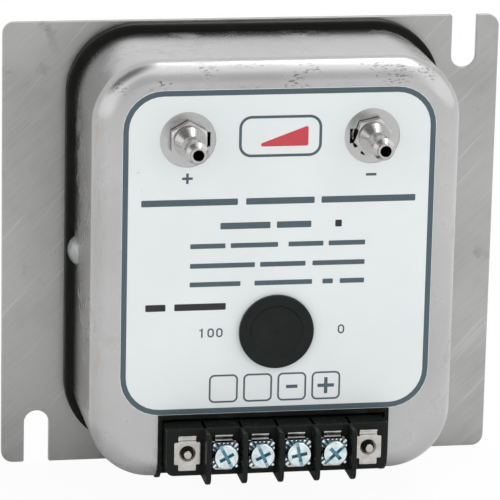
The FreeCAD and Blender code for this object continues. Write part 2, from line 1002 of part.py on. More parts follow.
def build_all():
    sheet = case_sheet()
    pieces = {
        "mounting_plate": mounting_plate(),
        "base_gasket": base_gasket(),
        "case": sheet,
        "cutout_edging": cutout_edging(sheet),
        "face_label": face_label(),
        "adjustment_plug": adjustment_plug(),
        "terminal_block": terminal_block(),
        "strip_pins": strip_pins(),
        "circuit_board": circuit_board(),
        "board_posts": board_posts(),
        "board_screws": board_screws(),
        "sensor_rear_cover": sensor_rear_cover(),
        "sensor_front_cover": sensor_front_cover(),
        "sensing_diaphragm": sensing_diaphragm(),
        "electrode_bushing": electrode_bushing(),
        "electrode": electrode(),
        "sensor_screws": sensor_screws(),
    }
    ports = (
        ("high", -1, high_hex_turn, high_seal_tabs, front_middle),
        ("low", 1, low_hex_turn, low_seal_tabs, rear_middle),
    )
    for name, side, turn, tabs, depth in ports:
        pieces[f"{name}_port_barb"] = port_barb(side, turn)
        pieces[f"{name}_port_seal"] = port_seal(side, tabs)
        pieces[f"{name}_port_nut"] = port_nut(side)
        pieces[f"{name}_pressure_tube"] = pressure_tube(side, depth)
    for name, side in (("left", -1), ("right", 1)):
        pieces[f"{name}_case_bracket"] = case_bracket(side)
        pieces[f"{name}_case_rivet"] = case_rivet(side)
    for name, side in (("span", -1), ("zero", 1)):
        pieces[f"{name}_trimmer"] = trimmer(side)
        pieces[f"{name}_rotor"] = trimmer_rotor(side)
    for n, x in enumerate(position_x, 1):
        pieces[f"terminal_clip_{n}"] = terminal_clip(x)
    for n, (x, angle) in enumerate(zip(screw_x, screw_angles), 1):
        pieces[f"clamp_plate_{n}"] = clamp_plate(x)
        pieces[f"terminal_screw_{n}"] = terminal_screw(x, angle)
    return pieces


os.makedirs("parts", exist_ok=True)
for node, shape in build_all().items():
    shape.exportStep(f"parts/{node}.step")
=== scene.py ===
"""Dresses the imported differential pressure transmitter: its visible surfaces, finishes and stage.

Metres, in the frame's own axes: X runs right, Z up, and the front faces -Y. Sizes are named in the
property groups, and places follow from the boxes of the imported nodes.
"""

import json
import math

import bmesh
import bpy
import numpy as np
from mathutils import Matrix, Vector
from mathutils.geometry import tessellate_polygon


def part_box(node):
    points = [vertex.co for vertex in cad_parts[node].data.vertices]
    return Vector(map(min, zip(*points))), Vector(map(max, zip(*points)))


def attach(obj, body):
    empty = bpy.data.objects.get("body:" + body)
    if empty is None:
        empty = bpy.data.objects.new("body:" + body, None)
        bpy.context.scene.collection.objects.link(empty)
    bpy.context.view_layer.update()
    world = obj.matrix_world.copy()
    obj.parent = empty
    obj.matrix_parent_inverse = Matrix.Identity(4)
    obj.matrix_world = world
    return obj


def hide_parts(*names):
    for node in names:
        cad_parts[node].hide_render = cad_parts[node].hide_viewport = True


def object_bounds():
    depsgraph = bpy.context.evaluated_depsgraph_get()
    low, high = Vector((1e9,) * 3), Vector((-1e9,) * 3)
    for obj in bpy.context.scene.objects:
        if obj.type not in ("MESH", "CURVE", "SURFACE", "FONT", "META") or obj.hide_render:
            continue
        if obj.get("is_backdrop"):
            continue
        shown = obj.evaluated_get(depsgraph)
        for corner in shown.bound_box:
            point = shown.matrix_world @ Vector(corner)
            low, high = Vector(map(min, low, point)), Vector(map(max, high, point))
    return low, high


bl_info = {
    "name": "Differential pressure transmitter",
    "version": (1, 0, 0),
    "blender": (4, 5, 0),
    "location": "View3D > Sidebar > Transmitter",
    "description": "Builds the visible surfaces and finishes around the packed frame",
    "category": "Add Mesh",
}

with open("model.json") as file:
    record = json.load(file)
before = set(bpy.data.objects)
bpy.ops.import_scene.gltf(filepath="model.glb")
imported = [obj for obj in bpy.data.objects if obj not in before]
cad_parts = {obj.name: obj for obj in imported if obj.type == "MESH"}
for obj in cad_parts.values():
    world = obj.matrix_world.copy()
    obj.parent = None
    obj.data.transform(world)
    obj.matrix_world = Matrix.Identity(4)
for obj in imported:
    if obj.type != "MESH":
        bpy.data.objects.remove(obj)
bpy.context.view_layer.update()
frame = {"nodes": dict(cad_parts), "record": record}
BODY_OF = {
    node: body for body, nodes in frame["record"]["behaviour"]["bodies"].items() for node in nodes
}
SLOT_OF = {part["node"]: part["material_slot"] for part in frame["record"]["subparts"]}
MM = 0.001
WELD = 1e-7

# rows: the piece's own right, its own up, and the way that it faces
FRONT = ((1, 0, 0), (0, 0, 1), (0, -1, 0))
RIGHT = ((0, 1, 0), (0, 0, 1), (1, 0, 0))
LEFT = ((0, -1, 0), (0, 0, 1), (-1, 0, 0))


class Room:
    """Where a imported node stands: its ranges across, up, and out from the wall."""

    def __init__(self, node):
        low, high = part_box(node)
        self.left, self.right = low.x, high.x
        self.bottom, self.top = low.z, high.z
        self.back, self.front = -high.y, -low.y
        self.width, self.height = high.x - low.x, high.z - low.z
        self.x, self.z = (low.x + high.x) / 2, (low.z + high.z) / 2


# ---------------------------------------------------------------- lines and surfaces


def unit(vectors):
    return vectors / np.linalg.norm(vectors, axis=-1, keepdims=True)


def turned_by(vectors, angle):
    """Vectors in the plane, turned anticlockwise: (x cos - y sin, x sin + y cos)."""
    x, y = vectors[..., 0], vectors[..., 1]
    return np.stack([x * np.cos(angle) - y * np.sin(angle), x * np.sin(angle) + y * np.cos(angle)], -1)


def rounded(corners, radii, closed=True, steps=6):
    """A line of straights joined by arcs, as points and the normals on its right.

    Each straight is cut back by radius x tan(half the turn), and the arc's points are its centre
    plus or minus radius x normal, with the normal turning evenly from one straight to the next.
    """
    corners = np.asarray(corners, float)
    radii = np.broadcast_to(np.asarray(radii, float), len(corners))
    before = unit(corners - np.roll(corners, 1, 0))
    after = unit(np.roll(corners, -1, 0) - corners)
    if not closed:
        corners, radii, before, after = corners[1:-1], radii[1:-1], before[1:-1], after[1:-1]
    turn = np.arctan2(
        before[:, 0] * after[:, 1] - before[:, 1] * after[:, 0], np.sum(before * after, axis=1)
    )
    start = np.stack([before[:, 1], -before[:, 0]], -1)
    bend = (np.sign(turn) * radii)[:, None]
    cut = (radii * np.tan(np.abs(turn) / 2))[:, None]
    centre = corners - before * cut - start * bend
    angle = turn[:, None] * np.linspace(0, 1, steps + 1)
    normals = turned_by(start[:, None], angle)
    points = centre[:, None] + bend[:, None] * normals
    points, normals = points.reshape(-1, 2), normals.reshape(-1, 2)
    return points, normals


def line(corners, radii, steps=6):
    """An open line with round corners and both of its ends."""
    corners = np.asarray(corners, float)
    points, normals = rounded(corners, radii, closed=False, steps=steps)
    first, last = unit(corners[1] - corners[0]), unit(corners[-1] - corners[-2])
    points = np.concatenate([corners[:1], points, corners[-1:]])
    normals = np.concatenate([[[first[1], -first[0]]], normals, [[last[1], -last[0]]]])
    return points, normals


def slab_section(back, front, edge, steps=3):
    """The side of a plate with two round edges: out at the back, up, and in at the front."""
    reach = 4 * edge
    corners = [(-reach, back), (0, back), (0, front), (-reach, front)]
    return rounded(corners, edge, closed=False, steps=steps)


def round_rectangle(left, right, bottom, top, corner, steps=10):
    return rounded([(left, bottom), (right, bottom), (right, top), (left, top)], corner, steps=steps)


def around(steps=72, start=0.0):
    """A circle of no size whose normals point all round: a section's offset becomes its radius."""
    angle = start + np.linspace(0, 2 * math.pi, steps, endpoint=False)
    normals = np.stack([np.cos(angle), np.sin(angle)], -1)
    return np.zeros_like(normals), normals


def circle(x, z, radius, steps=72):
    points, normals = around(steps)
    return points + (x, z) + radius * normals, normals


def ring_at(x, z, steps=72):
    """The same about a middle, for a turned piece."""
    points, normals = around(steps)
    return points + (x, z), normals


def insert(outline, place, extra, normal):
    """An outline with more points put in after one place, all with one normal."""
    points, normals = outline
    points = np.insert(points, place, extra, axis=0)
    normals = np.insert(normals, place, np.broadcast_to(normal, (len(extra), 2)), axis=0)
    return points, normals


class Skin:
    """One piece's surface: points, the way that each faces, and its faces."""

    def __init__(self, axes=FRONT, place=(0, 0, 0)):
        self.axes = np.asarray(axes, float)
        self.place = np.asarray(place, float)
        self.points, self.normals = np.zeros((0, 3)), np.zeros((0, 3))
        self.faces, self.crisp = [], []

    def add(self, points, normals):
        """Takes in points of any shape, in the piece's own axes, and gives their numbers."""
        first = len(self.points)
        self.points = np.concatenate([self.points, np.reshape(points, (-1, 3))])
        self.normals = np.concatenate([self.normals, np.reshape(normals, (-1, 3))])
        shape = np.shape(points)[:-1]
        return first + np.arange(np.prod(shape, dtype=int)).reshape(shape)

    def tile(self, rows, crisp=False, ring=True, wrap=False, holes=None):
        """Four-sided faces between neighbouring rows of points, except where holes is true."""
        if wrap:
            rows = np.concatenate([rows, rows[:1]])
        if ring:
            rows = np.concatenate([rows, rows[:, :1]], axis=1)
        quads = np.stack([rows[:-1, :-1], rows[:-1, 1:], rows[1:, 1:], rows[1:, :-1]], -1)
        quads = quads.reshape(-1, 4) if holes is None else quads[~holes]
        self.faces += quads.tolist()
        self.crisp += [crisp] * len(quads)

    def carry(self, outline, section, wrap=False, crisp=False, holes=None):
        """The section carried round the outline: a point is the outline's, moved along its normal by
        the section's offset and outwards by its height."""
        at, out = outline
        profile, facing = section
        flat = at[None] + profile[:, None, :1] * out[None]
        height = np.broadcast_to(profile[:, None, 1:], flat.shape[:2] + (1,))
        lean = facing[:, None, :1] * out[None]
        rise = np.broadcast_to(facing[:, None, 1:], flat.shape[:2] + (1,))
        rows = self.add(np.concatenate([flat, height], -1), np.concatenate([lean, rise], -1))
        self.tile(rows, crisp=crisp, wrap=wrap, holes=holes)
        return rows

    def fill(self, *loops, front=True):
        """A flat face inside the first loop of point numbers and outside the others."""
        numbers = np.concatenate(loops)
        veil = tessellate_polygon([[Vector(self.points[n]) for n in loop] for loop in loops])
        triangles = numbers[np.asarray(veil)]
        a, b, c = (self.points[triangles[:, n], :2] for n in range(3))
        area = (b - a)[:, 0] * (c - a)[:, 1] - (b - a)[:, 1] * (c - a)[:, 0]
        triangles = triangles[np.abs(area) > 0]
        area = area[np.abs(area) > 0]
        wrong = (area < 0) if front else (area > 0)
        triangles[wrong] = triangles[wrong, ::-1]
        self.faces += triangles.tolist()
        self.crisp += [False] * len(triangles)

    def slab(self, outline, back, front, edge, *holes, rim=None):
        """A plate between two heights with round edges, and holes with the same rim or their own."""
        side = slab_section(back, front, edge)
        rims = [self.carry(outline, side)]
        rims += [self.carry((at[::-1], -out[::-1]), rim or side) for at, out in holes]
        self.fill(*[loop[0] for loop in rims], front=False)
        self.fill(*[loop[-1] for loop in rims])

    def sheet(self, corners, toward):
        """One flat face through its corners, turned to face a given way."""
        corners = np.asarray(corners, float)
        ahead = np.roll(corners, -1, 0)
        if np.dot(np.cross(corners - corners[0], ahead - corners[0]).sum(0), toward) < 0:
            corners = corners[::-1]
        self.faces.append(self.add(corners, np.broadcast_to(toward, corners.shape)).tolist())
        self.crisp.append(True)

    def thicken(self, wall):
        """Makes a sheet of the surface: a copy lies one wall behind it, and strips close its edges."""
        count = len(self.points)
        self.add(self.points - wall * self.normals, -self.normals)
        sides = []
        for size in (3, 4):
            some = np.array([face for face in self.faces if len(face) == size], int).reshape(-1, size)
            sides.append(np.stack([some, np.roll(some, -1, 1)], -1).reshape(-1, 2))
        edges = np.concatenate(sides)
        code, back = edges @ (count, 1), edges @ (1, count)
        a, b = edges[~np.isin(code, back)].T
        self.faces += [[n + count for n in reversed(face)] for face in self.faces]
        self.crisp += self.crisp
        strips = np.stack([b, a, a + count, b + count], -1)
        self.faces += strips.tolist()
        self.crisp += [True] * len(strips)

    def piece(self, name, material, node, stands_in=True):
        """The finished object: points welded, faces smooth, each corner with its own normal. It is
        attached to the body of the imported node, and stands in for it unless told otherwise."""
        points = self.points @ self.axes + self.place
        normals = self.normals @ self.axes
        mesh = bpy.data.meshes.new(name)
        mesh.from_pydata(points.tolist(), [], self.faces)
        mesh.shade_smooth()
        corner = np.zeros(len(mesh.loops), int)
        mesh.loops.foreach_get("vertex_index", corner)
        facing = normals[corner]
        flat = np.zeros(len(mesh.polygons) * 3)
        mesh.polygons.foreach_get("normal", flat)
        totals = np.zeros(len(mesh.polygons), int)
        mesh.polygons.foreach_get("loop_total", totals)
        crisp = np.repeat(np.array(self.crisp, bool), totals)
        facing[crisp] = np.repeat(flat.reshape(-1, 3), totals, axis=0)[crisp]
        kept = mesh.attributes.new("facing", "FLOAT_VECTOR", "CORNER")
        kept.data.foreach_set("vector", facing.astype(np.float32).ravel())
        shape = bmesh.new()
        shape.from_mesh(mesh)
        bmesh.ops.remove_doubles(shape, verts=shape.verts, dist=WELD)
        bmesh.ops.dissolve_degenerate(shape, edges=shape.edges, dist=WELD)
        shape.to_mesh(mesh)
        shape.free()
        facing = np.zeros(len(mesh.loops) * 3, np.float32)
        mesh.attributes["facing"].data.foreach_get("vector", facing)
        mesh.attributes.remove(mesh.attributes["facing"])
        mesh.normals_split_custom_set(facing.reshape(-1, 3).tolist())
        mesh.materials.append(material)
        thing = bpy.data.objects.new(name, mesh)
        bpy.context.scene.collection.objects.link(thing)
        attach(thing, BODY_OF[node])
        if stands_in:
            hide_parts(node)
        return thing


# ---------------------------------------------------------------- wiring of materials


class Wiring:
    """Short calls for a node tree: each adds a node, and feeds its sockets values or links."""

    def __init__(self, tree):
        self.tree = tree

    def feed(self, socket, value):
        if isinstance(value, bpy.types.NodeSocket):
            self.tree.links.new(value, socket)
        else:
            socket.default_value = value

    def add(self, kind, *values, settings=None, **named):
        node = self.tree.nodes.new(kind)
        for name, value in (settings or {}).items():
            setattr(node, name, value)
        for socket, value in zip(node.inputs, values):
            self.feed(socket, value)
        for name, value in named.items():
            self.feed(node.inputs[name.replace("_", " ")], value)
        return node

    def math(self, operation, *values):
        return self.add("ShaderNodeMath", *values, settings={"operation": operation}).outputs[0]

    def mix(self, factor, first, second):
        node = self.add("ShaderNodeMix", settings={"data_type": "RGBA"})
        for socket, value in ((0, factor), (6, first), (7, second)):
            self.feed(node.inputs[socket], value)
        return node.outputs[2]

    def times(self, *values):
        """The product of any number of values."""
        product = values[0]
        for value in values[1:]:
            product = self.math("MULTIPLY", product, value)
        return product

    def stain(self, base, colour, *shares):
        """A colour laid over the base, as strong as the product of the shares."""
        return self.mix(self.times(*shares), base, colour)

    def spread(self, value, low, high, to_low=0.0, to_high=1.0):
        """A value's range mapped to another, with its ends held."""
        return self.add("ShaderNodeMapRange", value, low, high, to_low, to_high).outputs[0]

    def place(self):
        return self.add("ShaderNodeTexCoord").outputs["Object"]


def effect(name, inputs, build):
    """A node group with named number or vector inputs and one output, Value."""
    tree = bpy.data.node_groups.new(name, "ShaderNodeTree")
    for label, default in inputs:
        kind = "NodeSocketVector" if isinstance(default, tuple) else "NodeSocketFloat"
        socket = tree.interface.new_socket(label, in_out="INPUT", socket_type=kind)
        socket.default_value = default
    tree.interface.new_socket("Value", in_out="OUTPUT", socket_type="NodeSocketFloat")
    wires = Wiring(tree)
    given = tree.nodes.new("NodeGroupInput")
    result = build(wires, given.outputs)
    tree.links.new(result, tree.nodes.new("NodeGroupOutput").inputs["Value"])
    return tree


def build_grain(wires, given):
    """Noise drawn out along one way, as rolling, brushing and turning leave it."""
    mapped = wires.add(
        "ShaderNodeMapping",
        settings={"vector_type": "TEXTURE"},
        Vector=wires.place(),
        Rotation=given["Turn"],
        Scale=given["Stretch"],
    ).outputs[0]
    noise = wires.add("ShaderNodeTexNoise", Vector=mapped, Scale=given["Scale"], Detail=3.0)
    return wires.spread(noise.outputs[0], 0.3, 0.7)


def build_blotches(wires, given):
    """Soft patches where noise rises past a level."""
    noise = wires.add(
        "ShaderNodeTexNoise",
        Vector=wires.place(),
        Scale=given["Scale"],
        Detail=given["Detail"],
        Roughness=0.6,
        Distortion=given["Distortion"],
    )
    high = wires.math("ADD", given["Level"], given["Softness"])
    return wires.spread(noise.outputs[0], given["Level"], high)


def build_rings(wires, given):
    """Fine circles about an axis that faces the front: noise of the distance from it."""
    x, _, z = wires.add("ShaderNodeSeparateXYZ", wires.place()).outputs
    dx, dz = wires.math("SUBTRACT", x, given["Across"]), wires.math("SUBTRACT", z, given["Up"])
    square = wires.math("ADD", wires.times(dx, dx), wires.times(dz, dz))
    far, one = wires.math("SQRT", square), {"noise_dimensions": "1D"}
    noise = wires.add("ShaderNodeTexNoise", settings=one, W=far, Scale=given["Scale"])
    return wires.spread(noise.outputs[0], 0.3, 0.7)


EFFECTS = {
    "grain": (
        [("Turn", (0.0, 0.0, 0.0)), ("Stretch", (1.0, 1.0, 1.0)), ("Scale", 1000.0)],
        build_grain,
    ),
    "blotches": (
        [("Scale", 60.0), ("Detail", 3.0), ("Distortion", 0.0), ("Level", 0.5), ("Softness", 0.2)],
        build_blotches,
    ),
    "rings": ([("Across", 0.0), ("Up", 0.0), ("Scale", 4000.0)], build_rings),
}


def effect_value(wires, name, **values):
    """One of the shared effects placed in a material, with its own values."""
    if name not in bpy.data.node_groups:
        effect(name, *EFFECTS[name])
    node = wires.add("ShaderNodeGroup", settings={"node_tree": bpy.data.node_groups[name]}, **values)
    return node.outputs["Value"]


def material(name, build, **fixed):
    """A Principled material: fixed values on its own sockets, and build wires up the rest."""
    made = bpy.data.materials.new(name)
    made.use_nodes = True
    wires = Wiring(made.node_tree)
    shader = made.node_tree.nodes["Principled BSDF"]
    for label, value in fixed.items():
        wires.feed(shader.inputs[label.replace("_", " ")], value)
    for label, value in build(wires).items():
        wires.feed(shader.inputs[label.replace("_", " ")], value)
    return made


def bumped(wires, height, distance, strength=1.0):
    return wires.add("ShaderNodeBump", Height=height, Distance=distance, Strength=strength).outputs[0]


def tone(colour, *factors):
    """A colour times one factor, or times one for each of red, green and blue."""
    return (*np.multiply(colour[:3], factors).tolist(), 1.0)


def finish(name):
    return bpy.data.materials[name]


# ---------------------------------------------------------------- settings


def number(name, description, value, **more):
    return bpy.props.FloatProperty(name=name, description=description, default=value, **more)


def length(name, description, millimetres):
    return number(name, description, millimetres * MM, min=0.0, unit="LENGTH", precision=5)


def bearing(name, description, degrees):
    return number(name, description, math.radians(degrees), subtype="ANGLE", unit="ROTATION")


def tint(name, description, colour):
    limits = {"size": 3, "min": 0.0, "max": 1.0, "subtype": "COLOR"}
    return bpy.props.FloatVectorProperty(
        name=name, description=description, default=colour, **limits
    )


class HousingSizes(bpy.types.PropertyGroup):
    """Sizes of the plate, gasket, case and label that the boxes of the nodes don't give."""

    sheared_edge: length("Sheared edge", "Radius on the edges of the plate", 0.22)
    plate_corner: length("Plate corner", "Radius of the plate's corners", 3.3)
    slot_width: length("Slot width", "Width of the open-ended screw slots", 7.0)
    slot_reach: length("Slot reach", "From the plate's edge to a slot's round end", 15.1)
    slot_inset: length("Slot inset", "From the plate's side to a slot's middle", 9.9)
    gasket_inside: length("Gasket inside", "How far the gasket reaches in from the case's outside", 0.8)
    gasket_edge: length("Gasket edge", "Radius on the gasket's edges", 0.7)
    case_corner: length("Case corner", "Radius of the case's corners", 17.3)
    case_shoulder: length("Case shoulder", "Radius from the case's walls into its face", 6.35)
    case_wall: length("Case wall", "Thickness of the steel", 1.0)
    face_rim: length("Face rim", "Flat strip inside the shoulder", 0.8)
    cutout_half: length("Cut-out half", "Half the width cut from the sheet", 31.6)
    cutout_run: length("Cut-out run", "How far back the cut-out goes along the bottom", 9.2)
    cutout_top: length("Cut-out top", "From the bottom of the case to the cut", 18.5)
    label_corner: length("Label corner", "Radius of the label's corners", 11.0)
    label_edge: length("Label edge", "Radius on the label's edges", 0.06)
    label_port_hole: length("Port hole", "Diameter of the label's holes round the ports", 15.2)
    case_plug_hole: length("Case plug hole", "Radius of the case's hole for the plug", 7.95)
    label_plug_hole: length("Label's plug hole", "Diameter of the label's hole under the plug", 16.4)
    key_slot_height: length("Key slot height", "Height of the notch beside a port", 4.0)
    key_slot_reach: length("Key slot reach", "From a port's middle to the end of the notch", 6.1)
    stem_hole: length("Stem hole", "Radius of the hole for a port's stem", 4.1)


class PrintSizes(bpy.types.PropertyGroup):
    """Sizes of the label's print."""

    thickness: length("Thickness", "How far the ink stands out from the label", 0.02)
    border_width: length("Border width", "Width of the line round the label", 1.5)
    border_gap: length("Border gap", "From the label's edge to that line", 0.12)
    mark_width: length("Mark width", "Width of the mark's frame", 22.6)
    mark_height: length("Mark height", "Height of the mark's frame", 11.4)
    mark_corner: length("Mark corner", "Radius of the frame's corners", 3.4)
    mark_stroke: length("Mark stroke", "Width of the frame's line", 0.75)
    mark_rise: length("Mark rise", "How far the frame stands above the ports' middles", 0.5)
    wedge_width: length("Wedge width", "Width of the mark's wedge", 15.2)
    wedge_foot: length("Wedge foot", "From the ports' middles down to the wedge's foot", 2.3)
    wedge_tip: length("Wedge tip", "From the ports' middles up to the wedge's tip", 3.3)
    wedge_corner: length("Wedge corner", "Radius of the wedge's corners", 0.5)
    digit_height: length("Digit height", "Height of the numbers beside the plug", 2.6)
    digit_width: length("Digit width", "Width of a number", 1.8)
    digit_stroke: length("Digit stroke", "Width of their lines", 0.44)
    digit_pitch: length("Digit pitch", "From number to number", 2.4)
    digit_reach: length("Digit reach", "From the plug's middle to the numbers", 18.0)
    square: length("Square", "Side of the frame over a screw", 8.0)
    square_corner: length("Square corner", "Radius of that frame's corners", 1.5)
    square_stroke: length("Square stroke", "Width of its line", 0.5)
    square_pitch: length("Square pitch", "From frame to frame", 9.47)
    square_rise: length("Square rise", "From the label's bottom to the frames' middles", 7.05)
    minus_width: length("Minus", "Width of the minus sign", 3.2)
    minus_place: length("Minus place", "From the label's middle to the minus sign", 4.73)
    plus_span: length("Plus", "Width of the plus sign", 4.6)
    plus_place: length("Plus place", "From the label's middle to the plus sign", 14.2)
    sign_stroke: length("Sign stroke", "Width of both signs' lines", 0.95)
    port_sign: length("Port sign", "Width of the signs under the ports", 2.9)
    port_sign_stroke: length("Port sign stroke", "Width of their lines", 0.7)
    port_sign_drop: length("Port sign drop", "From a port's middle down to its sign", 10.7)


class PortSizes(bpy.types.PropertyGroup):
    """Sizes of the barbed ports and the plug."""

    flats: length("Flats", "Across the flats of the hexagon", 9.525)
    hex_height: length("Hexagon height", "From the seal to the hexagon's front", 2.4)
    collar: length("Collar", "Radius of the collar on the hexagon", 4.15)
    collar_height: length("Collar height", "Straight part of the collar", 0.4)
    taper: length("Taper", "From the collar to the neck", 2.7)
    neck: length("Neck", "Radius between the barbs", 2.35)
    crest: length("Crest", "Radius of the barbs", 3.05)
    crest_land: length("Crest land", "Flat top of a barb", 0.35)
    first_crest: length("First crest", "From the hexagon to the first barb", 6.0)
    crest_pitch: length("Crest pitch", "From barb to barb", 3.3)
    crest_cone: length("Crest cone", "Sloping side of a barb", 2.3)
    nose: length("Nose", "Radius of the tip", 2.1)
    bore: length("Bore", "Radius of the bore", 1.45)
    high_turn: bearing("High hexagon", "Direction of a corner of the high port's hexagon", 30.0)
    low_turn: bearing("Low hexagon", "Direction of a corner of the low port's hexagon", 11.5)
    plug_dish: length("Plug dish", "Radius of the dish in the plug's head", 7.5)
    plug_dish_depth: length("Dish depth", "Depth of that dish", 0.45)
    plug_edge: length("Plug edge", "Radius on the plug's rim", 0.6)
    plug_skirt: length("Plug skirt", "Radius of the plug's skirt", 7.85)
    plug_skirt_wall: length("Skirt wall", "Thickness of the skirt", 1.25)
    plug_dimple: length("Plug dimple", "Radius of the gate mark in the dish", 0.8)
    rivet_dome: length("Rivet dome", "Height of a case rivet's head", 2.3)


class StripSizes(bpy.types.PropertyGroup):
    """Sizes of the barrier strip and its terminals."""

    block_edge: length("Block edge", "Radius on the moulding's edges", 0.35)
    block_corner: length("Block corner", "Radius of the block's lower corners", 2.0)
    barrier_thickness: length("Barrier thickness", "Thickness of a barrier", 1.4)
    barrier_toe: length("Barrier toe", "Radius at a barrier's foot", 2.5)
    barrier_crown: length("Barrier crown", "Radius at a barrier's top", 1.5)
    barrier_drop: length("Barrier drop", "How far the barriers reach below the block", 1.1)
    clip_body: length("Clip body", "Height of a clip's wide part", 6.4)
    clip_tab: length("Clip tab", "Width of a clip's tabs", 5.0)
    clip_hole: length("Clip hole", "Radius of a clip's hole", 1.75)
    clip_countersink: length("Clip countersink", "Bevel round a clip's hole", 0.5)
    clip_thickness: length("Clip thickness", "Thickness of the clip's sheet", 0.8)
    clip_groove: length("Clip groove", "Width of the groove across the upper tab", 0.9)
    clip_groove_depth: length("Groove depth", "Depth of that groove", 0.5)
    clip_lip: length("Clip lip", "Sheet left above the groove", 0.5)
    clip_edge: length("Clip edge", "Radius on the clip's edges", 0.18)
    clamp_corner: length("Clamp corner", "Radius of a clamp plate's corners", 0.7)
    clamp_edge: length("Clamp edge", "Radius on a clamp plate's edges", 0.15)
    head_radius: length("Head radius", "Radius of a terminal screw's head", 3.45)
    head_edge: length("Head edge", "Radius on the head's rim", 0.55)
    slot_width: length("Screw slot", "Width of the slot across the head", 0.9)
    slot_depth: length("Slot depth", "Depth of that slot", 0.8)
    cross_span: length("Cross span", "Width of the cross recess", 4.3)
    cross_depth: length("Cross depth", "Depth of the cross recess", 1.2)
    cross_width: length("Cross width", "Width of the recess's arms", 1.0)
    shank: length("Shank", "Radius of the screw's shank", 1.7)
    head_height: length("Head height", "Height of the screw's head", 2.0)
    pin_radius: length("Pin", "Radius of the bare pins", 1.15)
    tooth_gap: length("Tooth gap", "Width of the clamp plate's grooves", 0.55)
    tooth_depth: length("Tooth depth", "Depth of those grooves", 0.4)
    clamp_teeth: bpy.props.IntProperty(
        name="Teeth", description="Grooves round a clamp plate", default=20
    )
    screw_turns: bpy.props.FloatVectorProperty(
        name="Screw turns",
        description="Direction of the slot on each screw",
        default=[math.radians(degrees) for degrees in (118, 115, 102, 42)],
        size=4,
        subtype="DIRECTION",
        unit="ROTATION",
    )


class FinishColours(bpy.types.PropertyGroup):
    """Base colours of the finishes."""

    aluminium: tint("Aluminium", "Mill-finished plate", (0.46, 0.46, 0.455))
    steel: tint("Steel", "Satin case", (0.56, 0.56, 0.56))
    fitting: tint("Fitting", "Turned ports", (0.52, 0.51, 0.50))
    zinc: tint("Zinc", "Bright plated screws", (0.80, 0.90, 0.92))
    nickel: tint("Nickel", "Plated clips", (0.62, 0.60, 0.57))
    rubber: tint("Rubber", "Gasket and seals", (0.008, 0.009, 0.007))
    phenolic: tint("Phenolic", "Barrier strip", (0.012, 0.014, 0.013))
    plug_black: tint("Plug", "Satin black plug", (0.014, 0.017, 0.016))
    film: tint("Film", "The label's ground", (0.80, 0.84, 0.84))
    ink: tint("Ink", "Blue-grey print", (0.062, 0.098, 0.118))
    dark_ink: tint("Dark ink", "Black print", (0.012, 0.012, 0.014))
    red_ink: tint("Red ink", "Print of the mark", (0.56, 0.05, 0.07))
    backdrop: tint("Backdrop", "Floor and backdrop", (0.86, 0.86, 0.86))


class StageSettings(bpy.types.PropertyGroup):
    """The camera's place and the lamps' strength."""

    azimuth: bearing("Azimuth", "How far the view is turned to the right of straight on", 10.487)
    down: bearing("Down", "How far the view looks down", 15.588)
    roll: bearing("Roll", "Turn about the line of sight", 1.256)
    distance: length("Distance", "From the camera to the point that it looks at", 1038.23)
    aim_x: number("Aim across", "Where the view is aimed", -4.02 * MM)
    aim_y: number("Aim depth", "Where the view is aimed", -25.0 * MM)
    aim_z: number("Aim up", "Where the view is aimed", 3.54 * MM)
    lens: number("Lens", "Focal length in millimetres", 271.76)
    room: number("Room", "Strength of the surroundings", 1.3)
    shade: number("Shade", "Share left on the camera's side", 0.55)
    overhead: number("Overhead lamp", "Power in watts", 3.2)


GROUPS = {
    "housing_sizes": HousingSizes,
    "print_sizes": PrintSizes,
    "port_sizes": PortSizes,
    "strip_sizes": StripSizes,
    "finish_colours": FinishColours,
    "stage_settings": StageSettings,
}


# ---------------------------------------------------------------- finishes


def aluminium(wires, colour):
    """Mill finish: a fine slanting grain, a few long scratches, and dark stains."""
    lines = effect_value(wires, "grain", Turn=(0.0, 0.85, 0.0), Stretch=(1.0, 1.0, 20.0), Scale=1500.0)
    slants = effect_value(wires, "grain", Turn=(0.0, 0.72, 0.0), Stretch=(1.0, 1.0, 28.0), Scale=700.0)
    upright = effect_value(wires, "blotches", Scale=34.0, Detail=6.0, Level=0.45, Softness=0.3)
    cloud = effect_value(wires, "blotches", Scale=17.0, Detail=5.0, Level=0.36, Softness=0.34)
    scratch = wires.spread(slants, 0.78, 0.95)
    base = wires.mix(cloud, tone(colour, 0.78), tone(colour, 1.16))
    base = wires.stain(base, tone(colour, 0.86), upright, 0.5)
    base = wires.stain(base, tone(colour, 1.3), lines, 0.3)
    base = wires.stain(base, tone(colour, 1.6), scratch, 0.22)
    smudge = effect_value(wires, "blotches", Scale=75.0, Detail=6.0, Level=0.62, Softness=0.1)
    base = wires.stain(base, tone(colour, 0.45), smudge, 0.6)
    height = wires.math("ADD", wires.times(lines, 0.6), scratch)
    return {
        "Base_Color": base,
        "Roughness": wires.spread(lines, 0.0, 1.0, 0.36, 0.5),
        "Normal": bumped(wires, height, 0.004 * MM, 0.5),
    }


